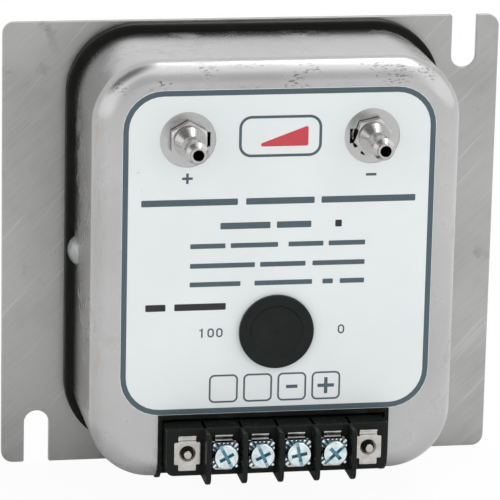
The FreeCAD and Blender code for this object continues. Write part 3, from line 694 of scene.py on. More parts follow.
def steel(wires, colour):
    """Satin drawn steel: fine grain and soft scuffs, with nicks along the top shoulder, painted
    shade darkening the left wall, and faint brown runs down that wall."""
    case = Room("case")
    x, y, z = wires.add("ShaderNodeSeparateXYZ", wires.place()).outputs
    high = wires.spread(z, case.top - 9 * MM, case.top - 6 * MM)
    near = wires.spread(y, -case.front + 5 * MM, -case.front + 2 * MM)
    # outer marks the left wall: it carries both the painted shade there and the brown runs
    outer = wires.spread(x, case.left + 4 * MM, case.left + 1 * MM)
    grain = effect_value(wires, "grain", Stretch=(4.0, 1.0, 1.0), Scale=2600.0)
    scuff = effect_value(wires, "blotches", Scale=90.0, Detail=5.0, Level=0.55, Softness=0.16)
    patch = effect_value(wires, "blotches", Scale=22.0, Level=0.35, Softness=0.4)
    base = wires.mix(patch, tone(colour, 0.86), tone(colour, 1.04))
    base = wires.stain(base, tone(colour, 0.62), scuff, 0.24)
    fleck = effect_value(wires, "grain", Stretch=(3.0, 1.0, 1.0), Scale=2000.0)
    where = effect_value(wires, "blotches", Scale=110.0, Detail=4.0, Level=0.52, Softness=0.08)
    fleck = wires.spread(fleck, 0.6, 0.7)
    base = wires.stain(base, tone(colour, 0.25), fleck, where, high, near, 0.75)
    # painted shade: the case's left wall darkened
    base = wires.stain(base, tone(colour, 0.6), outer, 0.3)
    run = effect_value(wires, "grain", Stretch=(1.0, 1.0, 8.0), Scale=1500.0)
    run = wires.spread(run, 0.6, 0.8)
    base = wires.stain(base, tone(colour, 0.75, 0.5, 0.32), run, outer, 0.25)
    return {
        "Base_Color": base,
        "Roughness": wires.spread(scuff, 0.0, 1.0, 0.25, 0.42),
        "Normal": bumped(wires, grain, 0.003 * MM, 0.5),
    }


def turned_metal(wires, colour, across=0.0, up=0.0):
    """Lathe-turned metal: fine circles round its own axis."""
    rings = effect_value(wires, "rings", Across=across, Up=up)
    base = wires.mix(rings, tone(colour, 0.9), tone(colour, 1.05))
    return {
        "Base_Color": base,
        "Roughness": wires.spread(rings, 0.0, 1.0, 0.13, 0.22),
        "Normal": bumped(wires, rings, 0.004 * MM, 0.4),
    }


def plating(wires, colour, dull=0.2):
    """Bright plating on pressed sheet: cloudy, with fine grain."""
    cloud = effect_value(wires, "blotches", Scale=420.0, Detail=4.0, Level=0.4, Softness=0.3)
    grain = effect_value(wires, "grain", Stretch=(1.0, 1.0, 5.0), Scale=5200.0)
    return {
        "Base_Color": wires.mix(cloud, tone(colour, 0.78), tone(colour, 1.12)),
        "Roughness": wires.spread(cloud, 0.0, 1.0, dull, dull + 0.1),
        "Normal": bumped(wires, grain, 0.004 * MM, 0.35),
    }


def zinc_with_recess_shade(wires, colour, node, depth, share):
    """Blue-passivated zinc, with painted shade that makes it darker and bluer below the piece's front
    face, on its grooves, recesses and sides.
    """
    looks = plating(wires, colour, 0.14)
    front = Room(node).front
    _, y, _ = wires.add("ShaderNodeSeparateXYZ", wires.place()).outputs
    recess_shade = wires.spread(y, -front + 0.1 * MM, -front + depth * MM)
    # painted shade: grooves, recesses and sides below the front face darkened and tinted blue
    looks["Base_Color"] = wires.stain(looks["Base_Color"], tone(colour, *share), recess_shade, 0.9)
    return looks


def moulding(wires, colour, rough=0.3, grain=1800.0, worn=0.3):
    """Moulded plastic or rubber: a fine skin, with dusty patches."""
    skin = effect_value(wires, "grain", Scale=grain)
    dust = effect_value(wires, "blotches", Scale=130.0, Detail=4.0, Level=0.52, Softness=0.25)
    dusty = tuple(c + 0.02 for c in colour[:3]) + (1.0,)
    return {
        "Base_Color": wires.stain(tone(colour, 1.0), dusty, dust, worn),
        "Roughness": wires.spread(dust, 0.0, 1.0, rough, rough + 0.14),
        "Normal": bumped(wires, skin, 0.01 * MM, 0.3),
    }


def film(wires, colour):
    """Printed film: a satin skin with faint dust specks."""
    skin = effect_value(wires, "grain", Scale=2600.0)
    speck = effect_value(wires, "blotches", Scale=620.0, Detail=2.0, Level=0.76, Softness=0.03)
    patch = effect_value(wires, "blotches", Scale=26.0, Level=0.35, Softness=0.35)
    base = wires.mix(patch, tone(colour, 0.97), tone(colour, 1.02))
    return {
        "Base_Color": wires.stain(base, tone(colour, 0.5), speck, 0.35),
        "Roughness": wires.spread(patch, 0.0, 1.0, 0.36, 0.44),
        "Normal": bumped(wires, skin, 0.002 * MM, 0.4),
    }


def ink(wires, colour):
    """Screen ink: slightly uneven in depth."""
    skin = effect_value(wires, "grain", Scale=3000.0)
    return {
        "Base_Color": wires.mix(skin, tone(colour, 0.85), tone(colour, 1.2)),
        "Roughness": wires.spread(skin, 0.0, 1.0, 0.35, 0.45),
    }


def laminate(wires, colour):
    """Solder mask over a woven board: a faint weave shows through."""
    weave = wires.times(
        effect_value(wires, "grain", Stretch=(1.0, 1.0, 10.0), Scale=1500.0),
        effect_value(wires, "grain", Stretch=(10.0, 1.0, 1.0), Scale=1500.0),
    )
    return {
        "Base_Color": wires.mix(weave, tone(colour, 0.8), tone(colour, 1.2)),
        "Roughness": wires.spread(weave, 0.0, 1.0, 0.25, 0.4),
        "Normal": bumped(wires, weave, 0.01 * MM, 0.3),
    }


# ---------------------------------------------------------------- operators


class BuildFinishes(bpy.types.Operator):
    """Makes every material"""

    bl_idname = "transmitter.build_finishes"
    bl_label = "Finishes"

    def execute(self, context):
        colours = context.scene.finish_colours
        metal = {"Metallic": 1.0}
        material("mill_aluminium", lambda w: aluminium(w, colours.aluminium), **metal)
        material("satin_steel", lambda w: steel(w, colours.steel), **metal)
        for side in ("high", "low"):
            port = Room(f"{side}_port_barb")
            x, z = port.x, port.z
            material(f"{side}_fitting", lambda w: turned_metal(w, colours.fitting, x, z), **metal)
        material("zinc_plate", lambda w: plating(w, colours.zinc, 0.14), **metal)
        # the last numbers scale the zinc's colour for the painted shade in the clamp plates' grooves
        # and the screws' slots and recesses
        for name, node, depth, share in (
            ("clamp_zinc", "clamp_plate_1", 0.25, (0.03, 0.06, 0.07)),
            ("screw_zinc", "terminal_screw_1", 1.1, (0.03, 0.2, 0.27)),
        ):
            material(name, lambda w: zinc_with_recess_shade(w, colours.zinc, node, depth, share), **metal)
        material("nickel_plate", lambda w: plating(w, colours.nickel, 0.13), **metal)
        material("rivet_nickel", lambda w: plating(w, (0.42, 0.43, 0.43), 0.3), **metal)
        material("brass", lambda w: plating(w, (0.72, 0.5, 0.2), 0.25), **metal)
        dull = {"Specular_IOR_Level": 0.1}
        material("gasket_rubber", lambda w: moulding(w, colours.rubber, 0.42, 1500.0, 0.3), **dull)
        material("edging_rubber", lambda w: moulding(w, colours.rubber, 0.46, 900.0, 0.9), **dull)
        material("phenolic", lambda w: moulding(w, colours.phenolic, 0.22, 900.0, 0.15), **dull)
        material("plug_plastic", lambda w: moulding(w, colours.plug_black, 0.34, 2600.0, 0.3), **dull)
        material("tube_rubber", lambda w: moulding(w, (0.6, 0.58, 0.5), 0.4, 1500.0, 0.3))
        material("trimmer_plastic", lambda w: moulding(w, (0.02, 0.08, 0.3), 0.3, 1500.0, 0.2))
        material("glass_seal", lambda w: moulding(w, (0.05, 0.1, 0.09), 0.15, 1500.0, 0.1))
        material("label_film", lambda w: film(w, colours.film))
        material("blue_ink", lambda w: ink(w, colours.ink))
        material("black_ink", lambda w: ink(w, colours.dark_ink))
        material("red_ink", lambda w: ink(w, colours.red_ink))
        material("board_laminate", lambda w: laminate(w, (0.015, 0.12, 0.05)))
        return {"FINISHED"}


SLOT_FINISH = {
    "plate": "mill_aluminium",
    "gasket": "gasket_rubber",
    "case": "satin_steel",
    "label": "label_film",
    "edging": "edging_rubber",
    "fitting": "high_fitting",
    "seal": "gasket_rubber",
    "plug": "plug_plastic",
    "block": "phenolic",
    "clip": "nickel_plate",
    "zinc_steel": "zinc_plate",
    "board": "board_laminate",
    "post": "mill_aluminium",
    "trimmer": "trimmer_plastic",
    "brass": "brass",
    "capsule": "satin_steel",
    "bushing": "glass_seal",
    "tube": "tube_rubber",
    "bracket": "satin_steel",
    "rivet": "rivet_nickel",
}


class DressNodes(bpy.types.Operator):
    """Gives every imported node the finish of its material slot"""

    bl_idname = "transmitter.dress_nodes"
    bl_label = "Packed nodes"

    def execute(self, context):
        for node, slot in SLOT_OF.items():
            mesh = frame["nodes"][node].data
            mesh.materials.clear()
            mesh.materials.append(finish(SLOT_FINISH[slot]))
        return {"FINISHED"}


class BuildPlate(bpy.types.Operator):
    """The mounting plate with its two open-ended slots"""

    bl_idname = "transmitter.build_plate"
    bl_label = "Mounting plate"

    def execute(self, context):
        size = context.scene.housing_sizes
        room = Room("mounting_plate")
        half = size.slot_width / 2
        x = room.right - size.slot_inset
        end = room.top - size.slot_reach
        soft = 2 * size.sheared_edge
        slot = [(x + half, room.top), (x + half, end), (x - half, end), (x - half, room.top)]
        right = [(room.right, room.bottom), (room.right, room.top), *slot]
        corners = np.array([*right, *(-np.array(right))])
        radii = 2 * [size.plate_corner, size.plate_corner, soft, half, half, soft]
        skin = Skin()
        skin.slab(rounded(corners, radii, steps=8), room.back, room.front, size.sheared_edge)
        skin.piece("plate", finish("mill_aluminium"), "mounting_plate")
        return {"FINISHED"}


class BuildGasket(bpy.types.Operator):
    """The rubber gasket under the case"""

    bl_idname = "transmitter.build_gasket"
    bl_label = "Gasket"

    def execute(self, context):
        size = context.scene.housing_sizes
        room, case = Room("base_gasket"), Room("case")
        outline = round_rectangle(case.left, case.right, case.bottom, case.top, size.case_corner, 16)
        inside, lip = -size.gasket_inside, room.right - case.right
        corners = [(inside, room.back), (lip, room.back), (lip, room.front), (inside, room.front)]
        section = rounded(corners, size.gasket_edge, steps=5)
        skin = Skin()
        skin.carry(outline, section, wrap=True)
        skin.piece("gasket", finish("gasket_rubber"), "base_gasket")
        return {"FINISHED"}


class BuildCase(bpy.types.Operator):
    """The drawn steel case, with its cut-out, port holes and key slots"""

    bl_idname = "transmitter.build_case"
    bl_label = "Case"

    def keyhole(self, size, x, z, way):
        """A port's hole run together with the notch on one side of it."""
        half = size.key_slot_height / 2
        start = math.asin(half / size.stem_hole)
        sweep = np.linspace(start, 2 * math.pi - start, 40)
        arc = np.stack([np.cos(sweep), np.sin(sweep)], -1) * size.stem_hole
        notch = np.array([(size.key_slot_reach, -half), (size.key_slot_reach, half)])
        loop = np.concatenate([arc, notch]) * (way, 1)
        return (loop if way > 0 else loop[::-1]) + (x, z)

    def execute(self, context):
        size = context.scene.housing_sizes
        room = Room("case")
        sides = (room.left, room.right, room.bottom, room.top)
        outline = round_rectangle(*sides, size.case_corner, 16)
        bottom = np.array([(-size.cutout_half, room.bottom), (size.cutout_half, room.bottom)])
        place = len(outline[0]) // 4
        outline = insert(outline, place, bottom, (0.0, -1.0))
        shoulder = size.case_shoulder
        inner = shoulder + size.face_rim
        cut = room.front - size.cutout_run
        points, normals = line(
            [(0, room.back), (0, room.front), (-inner, room.front)], shoulder, steps=14
        )
        section = insert((points, normals), 1, np.array([(0.0, cut)]), (1.0, 0.0))
        holes = np.zeros((len(section[0]) - 1, len(outline[0])), bool)
        holes[1:, place] = True
        skin = Skin()
        rows = skin.carry(outline, section, holes=holes)
        top = room.bottom + size.cutout_top
        reach = size.cutout_half
        corner = skin.add([(-reach, top, room.front), (reach, top, room.front)], [(0, 0, 1)] * 2)
        rim = np.concatenate([rows[-1][: place + 1], corner, rows[-1][place + 1 :]])
        high, low, plug = Room("high_port_barb"), Room("low_port_barb"), Room("adjustment_plug")
        loops = [rim]
        for hole in (
            self.keyhole(size, high.x, high.z, 1),
            self.keyhole(size, low.x, low.z, -1),
            circle(plug.x, plug.z, size.case_plug_hole, 96)[0],
        ):
            flat = np.column_stack([hole, np.full(len(hole), room.front)])
            loops.append(skin.add(flat, np.broadcast_to((0, 0, 1), flat.shape)))
        skin.fill(*loops)
        skin.thicken(size.case_wall)
        skin.piece("case_shell", finish("satin_steel"), "case")
        return {"FINISHED"}


class BuildLabel(bpy.types.Operator):
    """The printed film on the face"""

    bl_idname = "transmitter.build_label"
    bl_label = "Label"

    def execute(self, context):
        size = context.scene.housing_sizes
        room = Room("face_label")
        outline = round_rectangle(room.left, room.right, room.bottom, room.top, size.label_corner, 12)
        plug = Room("adjustment_plug")
        holes = [circle(plug.x, plug.z, size.label_plug_hole / 2)]
        for side in ("high", "low"):
            port = Room(f"{side}_port_barb")
            holes.append(circle(port.x, port.z, size.label_port_hole / 2))
        front = room.front
        skin = Skin()
        skin.slab(outline, room.back, front, size.label_edge, *holes)
        skin.piece("label", finish("label_film"), "face_label")
        return {"FINISHED"}


class BuildPorts(bpy.types.Operator):
    """The two barbed ports, each with its hexagon standing on its seal"""

    bl_idname = "transmitter.build_ports"
    bl_label = "Ports"

    def barb_section(self, size, hex_front, tip):
        """The turned outline from the hexagon's face to the tip, as radius and height."""
        collar = hex_front + size.collar_height
        corners = [(size.bore, hex_front), (size.collar, hex_front), (size.collar, collar)]
        radii = [0.0, 0.05, 0.12]
        corners.append((size.neck, collar + size.taper))
        radii.append(0.2)
        for n in range(3):
            crest = hex_front + size.first_crest + n * size.crest_pitch
            corners += [
                (size.neck, crest - size.crest_land),
                (size.crest, crest - size.crest_land),
                (size.crest, crest),
            ]
            radii += [0.04, 0.06, 0.14]
            if n < 2:
                corners.append((size.neck, crest + size.crest_cone))
                radii.append(0.1)
        corners += [(size.nose, crest + size.crest_cone / 2), (size.nose, tip), (size.bore, tip)]
        radii += [0.1, 0.3, 0.25]
        corners.append((size.bore, hex_front - 3 * MM))
        radii.append(0.0)
        return line(corners, np.array(radii) * MM, steps=5)

    def hexagon(self, skin, size, x, z, turn, back, front):
        """A prism whose radius is half the flats / cos(angle from the flat's middle), with its front
        corners cut by a cone; a last row closes it under the collar."""
        steps, sixth = 96, math.pi / 3
        swing = np.arange(steps) * (2 * math.pi / steps)
        angle = turn + swing
        off = (swing + sixth / 2) % sixth - sixth / 2
        radius = size.flats / 2 / np.cos(math.pi / 6 - np.abs(off))
        way = np.stack([np.cos(angle), np.sin(angle)], -1)
        slope = math.tan(math.radians(30))
        edge = front - (radius - size.flats / 2) * slope - 0.05 * MM
        top = np.full(steps, size.flats / 2 - 0.1 * MM)
        rows = []
        for reach, height in ((radius, back), (radius, edge), (top, front), (top * 0.5, front)):
            height = np.broadcast_to(height, steps)
            points = np.column_stack([way * reach[:, None] + (x, z), height])
            rows.append(skin.add(points, np.column_stack([way, np.zeros(steps)])))
        skin.tile(np.array(rows), crisp=True)

    def execute(self, context):
        size = context.scene.port_sizes
        for side, turn in (("high", size.high_turn), ("low", size.low_turn)):
            room, seal = Room(f"{side}_port_barb"), Room(f"{side}_port_seal")
            hex_front = seal.front + size.hex_height
            skin = Skin()
            skin.carry(ring_at(room.x, room.z, 96), self.barb_section(size, hex_front, room.front))
            self.hexagon(skin, size, room.x, room.z, turn, seal.front, hex_front)
            skin.piece(f"{side}_port", finish(f"{side}_fitting"), f"{side}_port_barb")
        return {"FINISHED"}


class BuildPlug(bpy.types.Operator):
    """The black plug over the adjusters"""

    bl_idname = "transmitter.build_plug"
    bl_label = "Plug"

    def execute(self, context):
        size = context.scene.port_sizes
        room, label = Room("adjustment_plug"), Room("face_label")
        radius = room.width / 2
        dish = room.front - size.plug_dish_depth
        inner = size.plug_skirt - size.plug_skirt_wall
        dimple = size.plug_dimple
        corners = [
            (0, label.front),
            (inner, label.front),
            (inner, room.back),
            (size.plug_skirt, room.back),
            (size.plug_skirt, label.front),
            (radius, label.front),
            (radius, room.front),
            (size.plug_dish, room.front),
            (size.plug_dish - size.plug_dish_depth, dish),
            (dimple, dish),
            (0, dish - dimple / 2),
        ]
        radii = np.array([0, 0.3, 0.2, 0.2, 0.2, 0.15, size.plug_edge / MM, 0.25, 0.3, 0.2, 0]) * MM
        skin = Skin()
        skin.carry(ring_at(room.x, room.z, 96), line(corners, radii, steps=5))
        skin.piece("plug", finish("plug_plastic"), "adjustment_plug")
        return {"FINISHED"}


class BuildStrip(bpy.types.Operator):
    """The barrier strip's moulding"""

    bl_idname = "transmitter.build_strip"
    bl_label = "Barrier strip"

    def execute(self, context):
        size = context.scene.strip_sizes
        room, clip, case = Room("terminal_block"), Room("terminal_clip_1"), Room("case")
        front = clip.front - size.clip_thickness
        bottom = room.bottom + size.barrier_drop
        sides = (room.left, room.right, bottom, room.top)
        corners = [(sides[0], bottom), (sides[1], bottom), (sides[1], room.top), (sides[0], room.top)]
        soft, low = 2 * size.block_edge, size.block_corner
        skin = Skin()
        skin.slab(rounded(corners, [low, low, soft, soft]), room.back, front, size.block_edge)
        skin.piece("strip_bar", finish("phenolic"), "terminal_block")
        centres = [Room(f"terminal_clip_{n}").x for n in range(1, 7)]
        half = size.barrier_thickness / 2
        corners = [(case.front, room.bottom), (room.front, room.bottom)]
        corners += [(room.front, room.top), (case.front, room.top)]
        radii = [0.3 * MM, size.barrier_toe, size.barrier_crown, 0.3 * MM]
        outline = rounded(corners, radii, steps=8)
        skin = Skin(LEFT)
        for left, right in zip(centres, centres[1:]):
            middle = -(left + right) / 2
            skin.slab(outline, middle - half, middle + half, size.block_edge)
        skin.piece("strip_barriers", finish("phenolic"), "terminal_block", stands_in=False)
        return {"FINISHED"}


class BuildClips(bpy.types.Operator):
    """The six terminal clips and the two bare pins"""

    bl_idname = "transmitter.build_clips"
    bl_label = "Terminal clips"

    def execute(self, context):
        size = context.scene.strip_sizes
        for n in range(1, 7):
            room = Room(f"terminal_clip_{n}")
            skin = Skin(place=(room.x, 0, room.z))
            wide, tab = room.width / 2, size.clip_tab / 2
            body, top = size.clip_body / 2, room.height / 2
            groove = top - size.clip_lip - size.clip_groove
            half = [(tab, -top), (tab, -body), (wide, -body), (wide, body), (tab, body), (tab, groove)]
            other = [(-x, z) for x, z in reversed(half)]
            soft, tight = 0.4 * MM, 0.2 * MM
            radii = [soft, tight, soft, soft, tight, tight]
            outline = rounded(half + other, radii + radii[::-1], steps=4)
            edge, back, front = size.clip_edge, room.front - size.clip_thickness, room.front
            sink = front - size.clip_countersink
            way = [(-4 * edge, back), (0, back), (0, sink), (sink - front, front), (-1 * MM, front)]
            rim = rounded(way, [0, edge, edge, edge / 2, 0], closed=False, steps=3)
            skin.slab(outline, back, front, edge, circle(0, 0, size.clip_hole, 48), rim=rim)
            lip = round_rectangle(-tab, tab, top - size.clip_lip, top, tight, 4)
            skin.slab(lip, back, front, edge)
            bridge = round_rectangle(-tab, tab, groove - edge, top - edge, tight, 4)
            skin.slab(bridge, back, front - size.clip_groove_depth, edge)
            skin.piece(f"clip_{n}", finish("nickel_plate"), f"terminal_clip_{n}")
        self.pins(size)
        return {"FINISHED"}

    def pins(self, size):
        room = Room("strip_pins")
        radius = size.pin_radius
        way = [(0, room.back), (radius, room.back), (radius, room.front), (0, room.front)]
        section = line(way, [0, 0.2 * MM, 0.4 * MM, 0], steps=5)
        skin = Skin()
        for x in (room.left + radius, room.right - radius):
            skin.carry(ring_at(x, room.z, 40), section)
        skin.piece("pins", finish("nickel_plate"), "strip_pins")


class BuildClamps(bpy.types.Operator):
    """The four square clamp plates, with teeth all round the screw's head"""

    bl_idname = "transmitter.build_clamps"
    bl_label = "Clamp plates"

    def reach(self, angle, half, corner):
        """How far a square with round corners goes at each angle: half / cos from the nearest
        side's middle, or on the corner's circle, middle (c + s) + root(corner2 - middle2 (c - s)2).
        """
        turn = angle % (math.pi / 2)
        fold = np.minimum(turn, math.pi / 2 - turn)
        c, s = np.cos(fold), np.sin(fold)
        middle = half - corner
        bend = middle * (c + s) + np.sqrt(np.maximum(corner**2 - (middle * (c - s)) ** 2, 0))
        return np.where(half * s / c <= middle, half / c, bend)

    def execute(self, context):
        size = context.scene.strip_sizes
        angle = np.linspace(0, 2 * math.pi, 480, endpoint=False)
        way = np.stack([np.cos(angle), np.sin(angle)], -1)
        step = 2 * math.pi / size.clamp_teeth
        off = np.abs((angle + step / 2) % step - step / 2)
        for n in range(1, 5):
            room = Room(f"clamp_plate_{n}")
            edge, front, back = size.clamp_edge, room.front, room.back
            outer = self.reach(angle, room.width / 2, size.clamp_corner)
            inner, hole = np.full_like(outer, size.head_radius), np.full_like(outer, size.shank)
            slope = edge / 2
            cut = np.clip((size.tooth_gap / 2 + slope - off * outer) / slope, 0, 1)
            low = front - size.tooth_depth * cut
            flat = np.full_like(outer, front)
            rows = [
                (hole, back + 0 * flat),
                (outer - edge, back + 0 * flat),
                (outer, back + edge + 0 * flat),
                (outer, low - edge),
                (outer - edge, low),
                (inner, low),
                (inner, flat),
                (hole, flat),
            ]
            skin = Skin(place=(room.x, 0, room.z))
            points = [np.column_stack([way * reach[:, None], height]) for reach, height in rows]
            skin.tile(skin.add(points, points), crisp=True, wrap=True)
            skin.piece(f"clamp_{n}", finish("clamp_zinc"), f"clamp_plate_{n}")
        return {"FINISHED"}


class BuildScrews(bpy.types.Operator):
    """The four terminal screws, with a slot right across and a short cross recess"""

    bl_idname = "transmitter.build_screws"
    bl_label = "Terminal screws"

    def half_head(self, skin, size, front, sign):
        """The rim, face and recess walls on one side of the slot; each row of the rim starts and
        ends where its own radius meets the slot, at the angle arcsin(slot / radius)."""
        radius, half = size.head_radius, size.slot_width / 2
        arm, reach = size.cross_width / 2, size.cross_span / 2
        floor, pit = front - size.slot_depth, front - size.cross_depth
        rim = [(radius, floor), (radius, front), (radius - 2 * size.head_edge, front)]
        profile, lean = line(rim, size.head_edge, steps=6)
        start = np.arcsin(half / profile[:, 0])[:, None]
        angle = start + np.linspace(0, 1, 48) * (math.pi - 2 * start)
        way = np.stack([np.cos(angle), np.sin(angle)], -1) * sign
        height = np.broadcast_to(profile[:, None, 1:], angle.shape + (1,))
        rise = np.broadcast_to(lean[:, None, 1:], angle.shape + (1,))
        points = np.concatenate([way * profile[:, None, :1], height], -1)
        rows = skin.add(points, np.concatenate([way * lean[:, None, :1], rise], -1))
        skin.tile(rows, ring=False)
        turn = np.array([sign, sign, 1])
        notch = [(-arm, half), (-arm, reach), (arm, reach), (arm, half)]
        notch = np.array([(u, v, front) for u, v in notch])
        skin.sheet(np.concatenate([points[-1], notch * turn]), (0, 0, 1))
        edge = np.column_stack([profile[:, 0] * np.cos(start[:, 0]), 0 * start + half, profile[:, 1]])
        for side in (1, -1):
            flip = np.array([side, 1, 1]) * turn
            foot = [(reach, half, floor), (reach, half, pit), (arm, half, pit), (arm, half, front)]
            skin.sheet(np.concatenate([edge[::-1], foot]) * flip, (0, -sign, 0))
            wall = [(arm, half, front), (arm, reach, front), (arm, reach, pit), (arm, half, pit)]
            skin.sheet(np.array(wall) * flip, (-side * sign, 0, 0))
        end = [(-arm, reach, front), (arm, reach, front), (arm, reach, pit), (-arm, reach, pit)]
        skin.sheet(np.array(end) * turn, (0, -sign, 0))
        step = [(reach, -half, floor), (reach, half, floor), (reach, half, pit), (reach, -half, pit)]
        skin.sheet(np.array(step) * turn, (-sign, 0, 0))
        sweep = np.linspace(-start[0, 0], start[0, 0], 7)
        arc = np.column_stack([radius * np.cos(sweep), radius * np.sin(sweep), 0 * sweep + floor])
        bed = np.array([(reach, half, floor), (reach, -half, floor)])
        skin.sheet(np.concatenate([arc, bed]) * turn, (0, 0, 1))
        return np.concatenate([angle[0], math.pi - sweep[::-1][1:-1]]) + (0 if sign > 0 else math.pi)

    def execute(self, context):
        size = context.scene.strip_sizes
        arm, reach, half = size.cross_width / 2, size.cross_span / 2, size.slot_width / 2
        quarter = [(reach, half), (arm, half), (arm, reach)]
        pit = [(u, v) for u, v in quarter] + [(-u, v) for u, v in reversed(quarter)]
        pit += [(-u, -v) for u, v in pit]
        for n, turn in enumerate(size.screw_turns, start=1):
            room = Room(f"terminal_screw_{n}")
            c, s = math.cos(turn), math.sin(turn)
            skin = Skin(((c, 0, s), (-s, 0, c), (0, -1, 0)), (room.x, 0, room.z))
            angle = np.concatenate([self.half_head(skin, size, room.front, sign) for sign in (1, -1)])
            floor = room.front - size.cross_depth
            skin.sheet([(u, v, floor) for u, v in pit], (0, 0, 1))
            way = np.stack([np.cos(angle), np.sin(angle)], -1)
            seat = room.front - size.head_height
            body = [(0, room.back), (size.shank, room.back), (size.shank, seat)]
            body += [(size.head_radius, seat), (size.head_radius, room.front - size.slot_depth)]
            section = line(body, np.array([0, 0.3, 0.1, 0.15, 0]) * MM, steps=3)
            skin.carry((0 * way, way), section)
            skin.piece(f"screw_{n}", finish("screw_zinc"), f"terminal_screw_{n}")
        return {"FINISHED"}


class BuildRivets(bpy.types.Operator):
    """The domed rivets in the case's sides"""

    bl_idname = "transmitter.build_rivets"
    bl_label = "Rivets"

    def execute(self, context):
        """A dome is part of a ball whose radius is (r2 + h2) / 2h."""
        high = context.scene.port_sizes.rivet_dome
        for side, axes in (("left", LEFT), ("right", RIGHT)):
            room = Room(f"{side}_case_rivet")
            top = -room.left if side == "left" else room.right
            radius = room.height / 2
            ball = (radius**2 + high**2) / (2 * high)
            tilt = np.linspace(math.asin(radius / ball), 0, 16)
            normals = np.stack([np.sin(tilt), np.cos(tilt)], -1)
            points = normals * ball + (0, top - ball)
            under = [(0, top - high), (radius, top - high)]
            section = np.concatenate([under, points]), np.concatenate([[(0, -1), (0, -1)], normals])
            skin = Skin(axes, (0, -(room.back + room.front) / 2, room.z))
            skin.carry(ring_at(0, 0, 64), section)
            skin.piece(f"{side}_rivet", finish("rivet_nickel"), f"{side}_case_rivet")
        return {"FINISHED"}


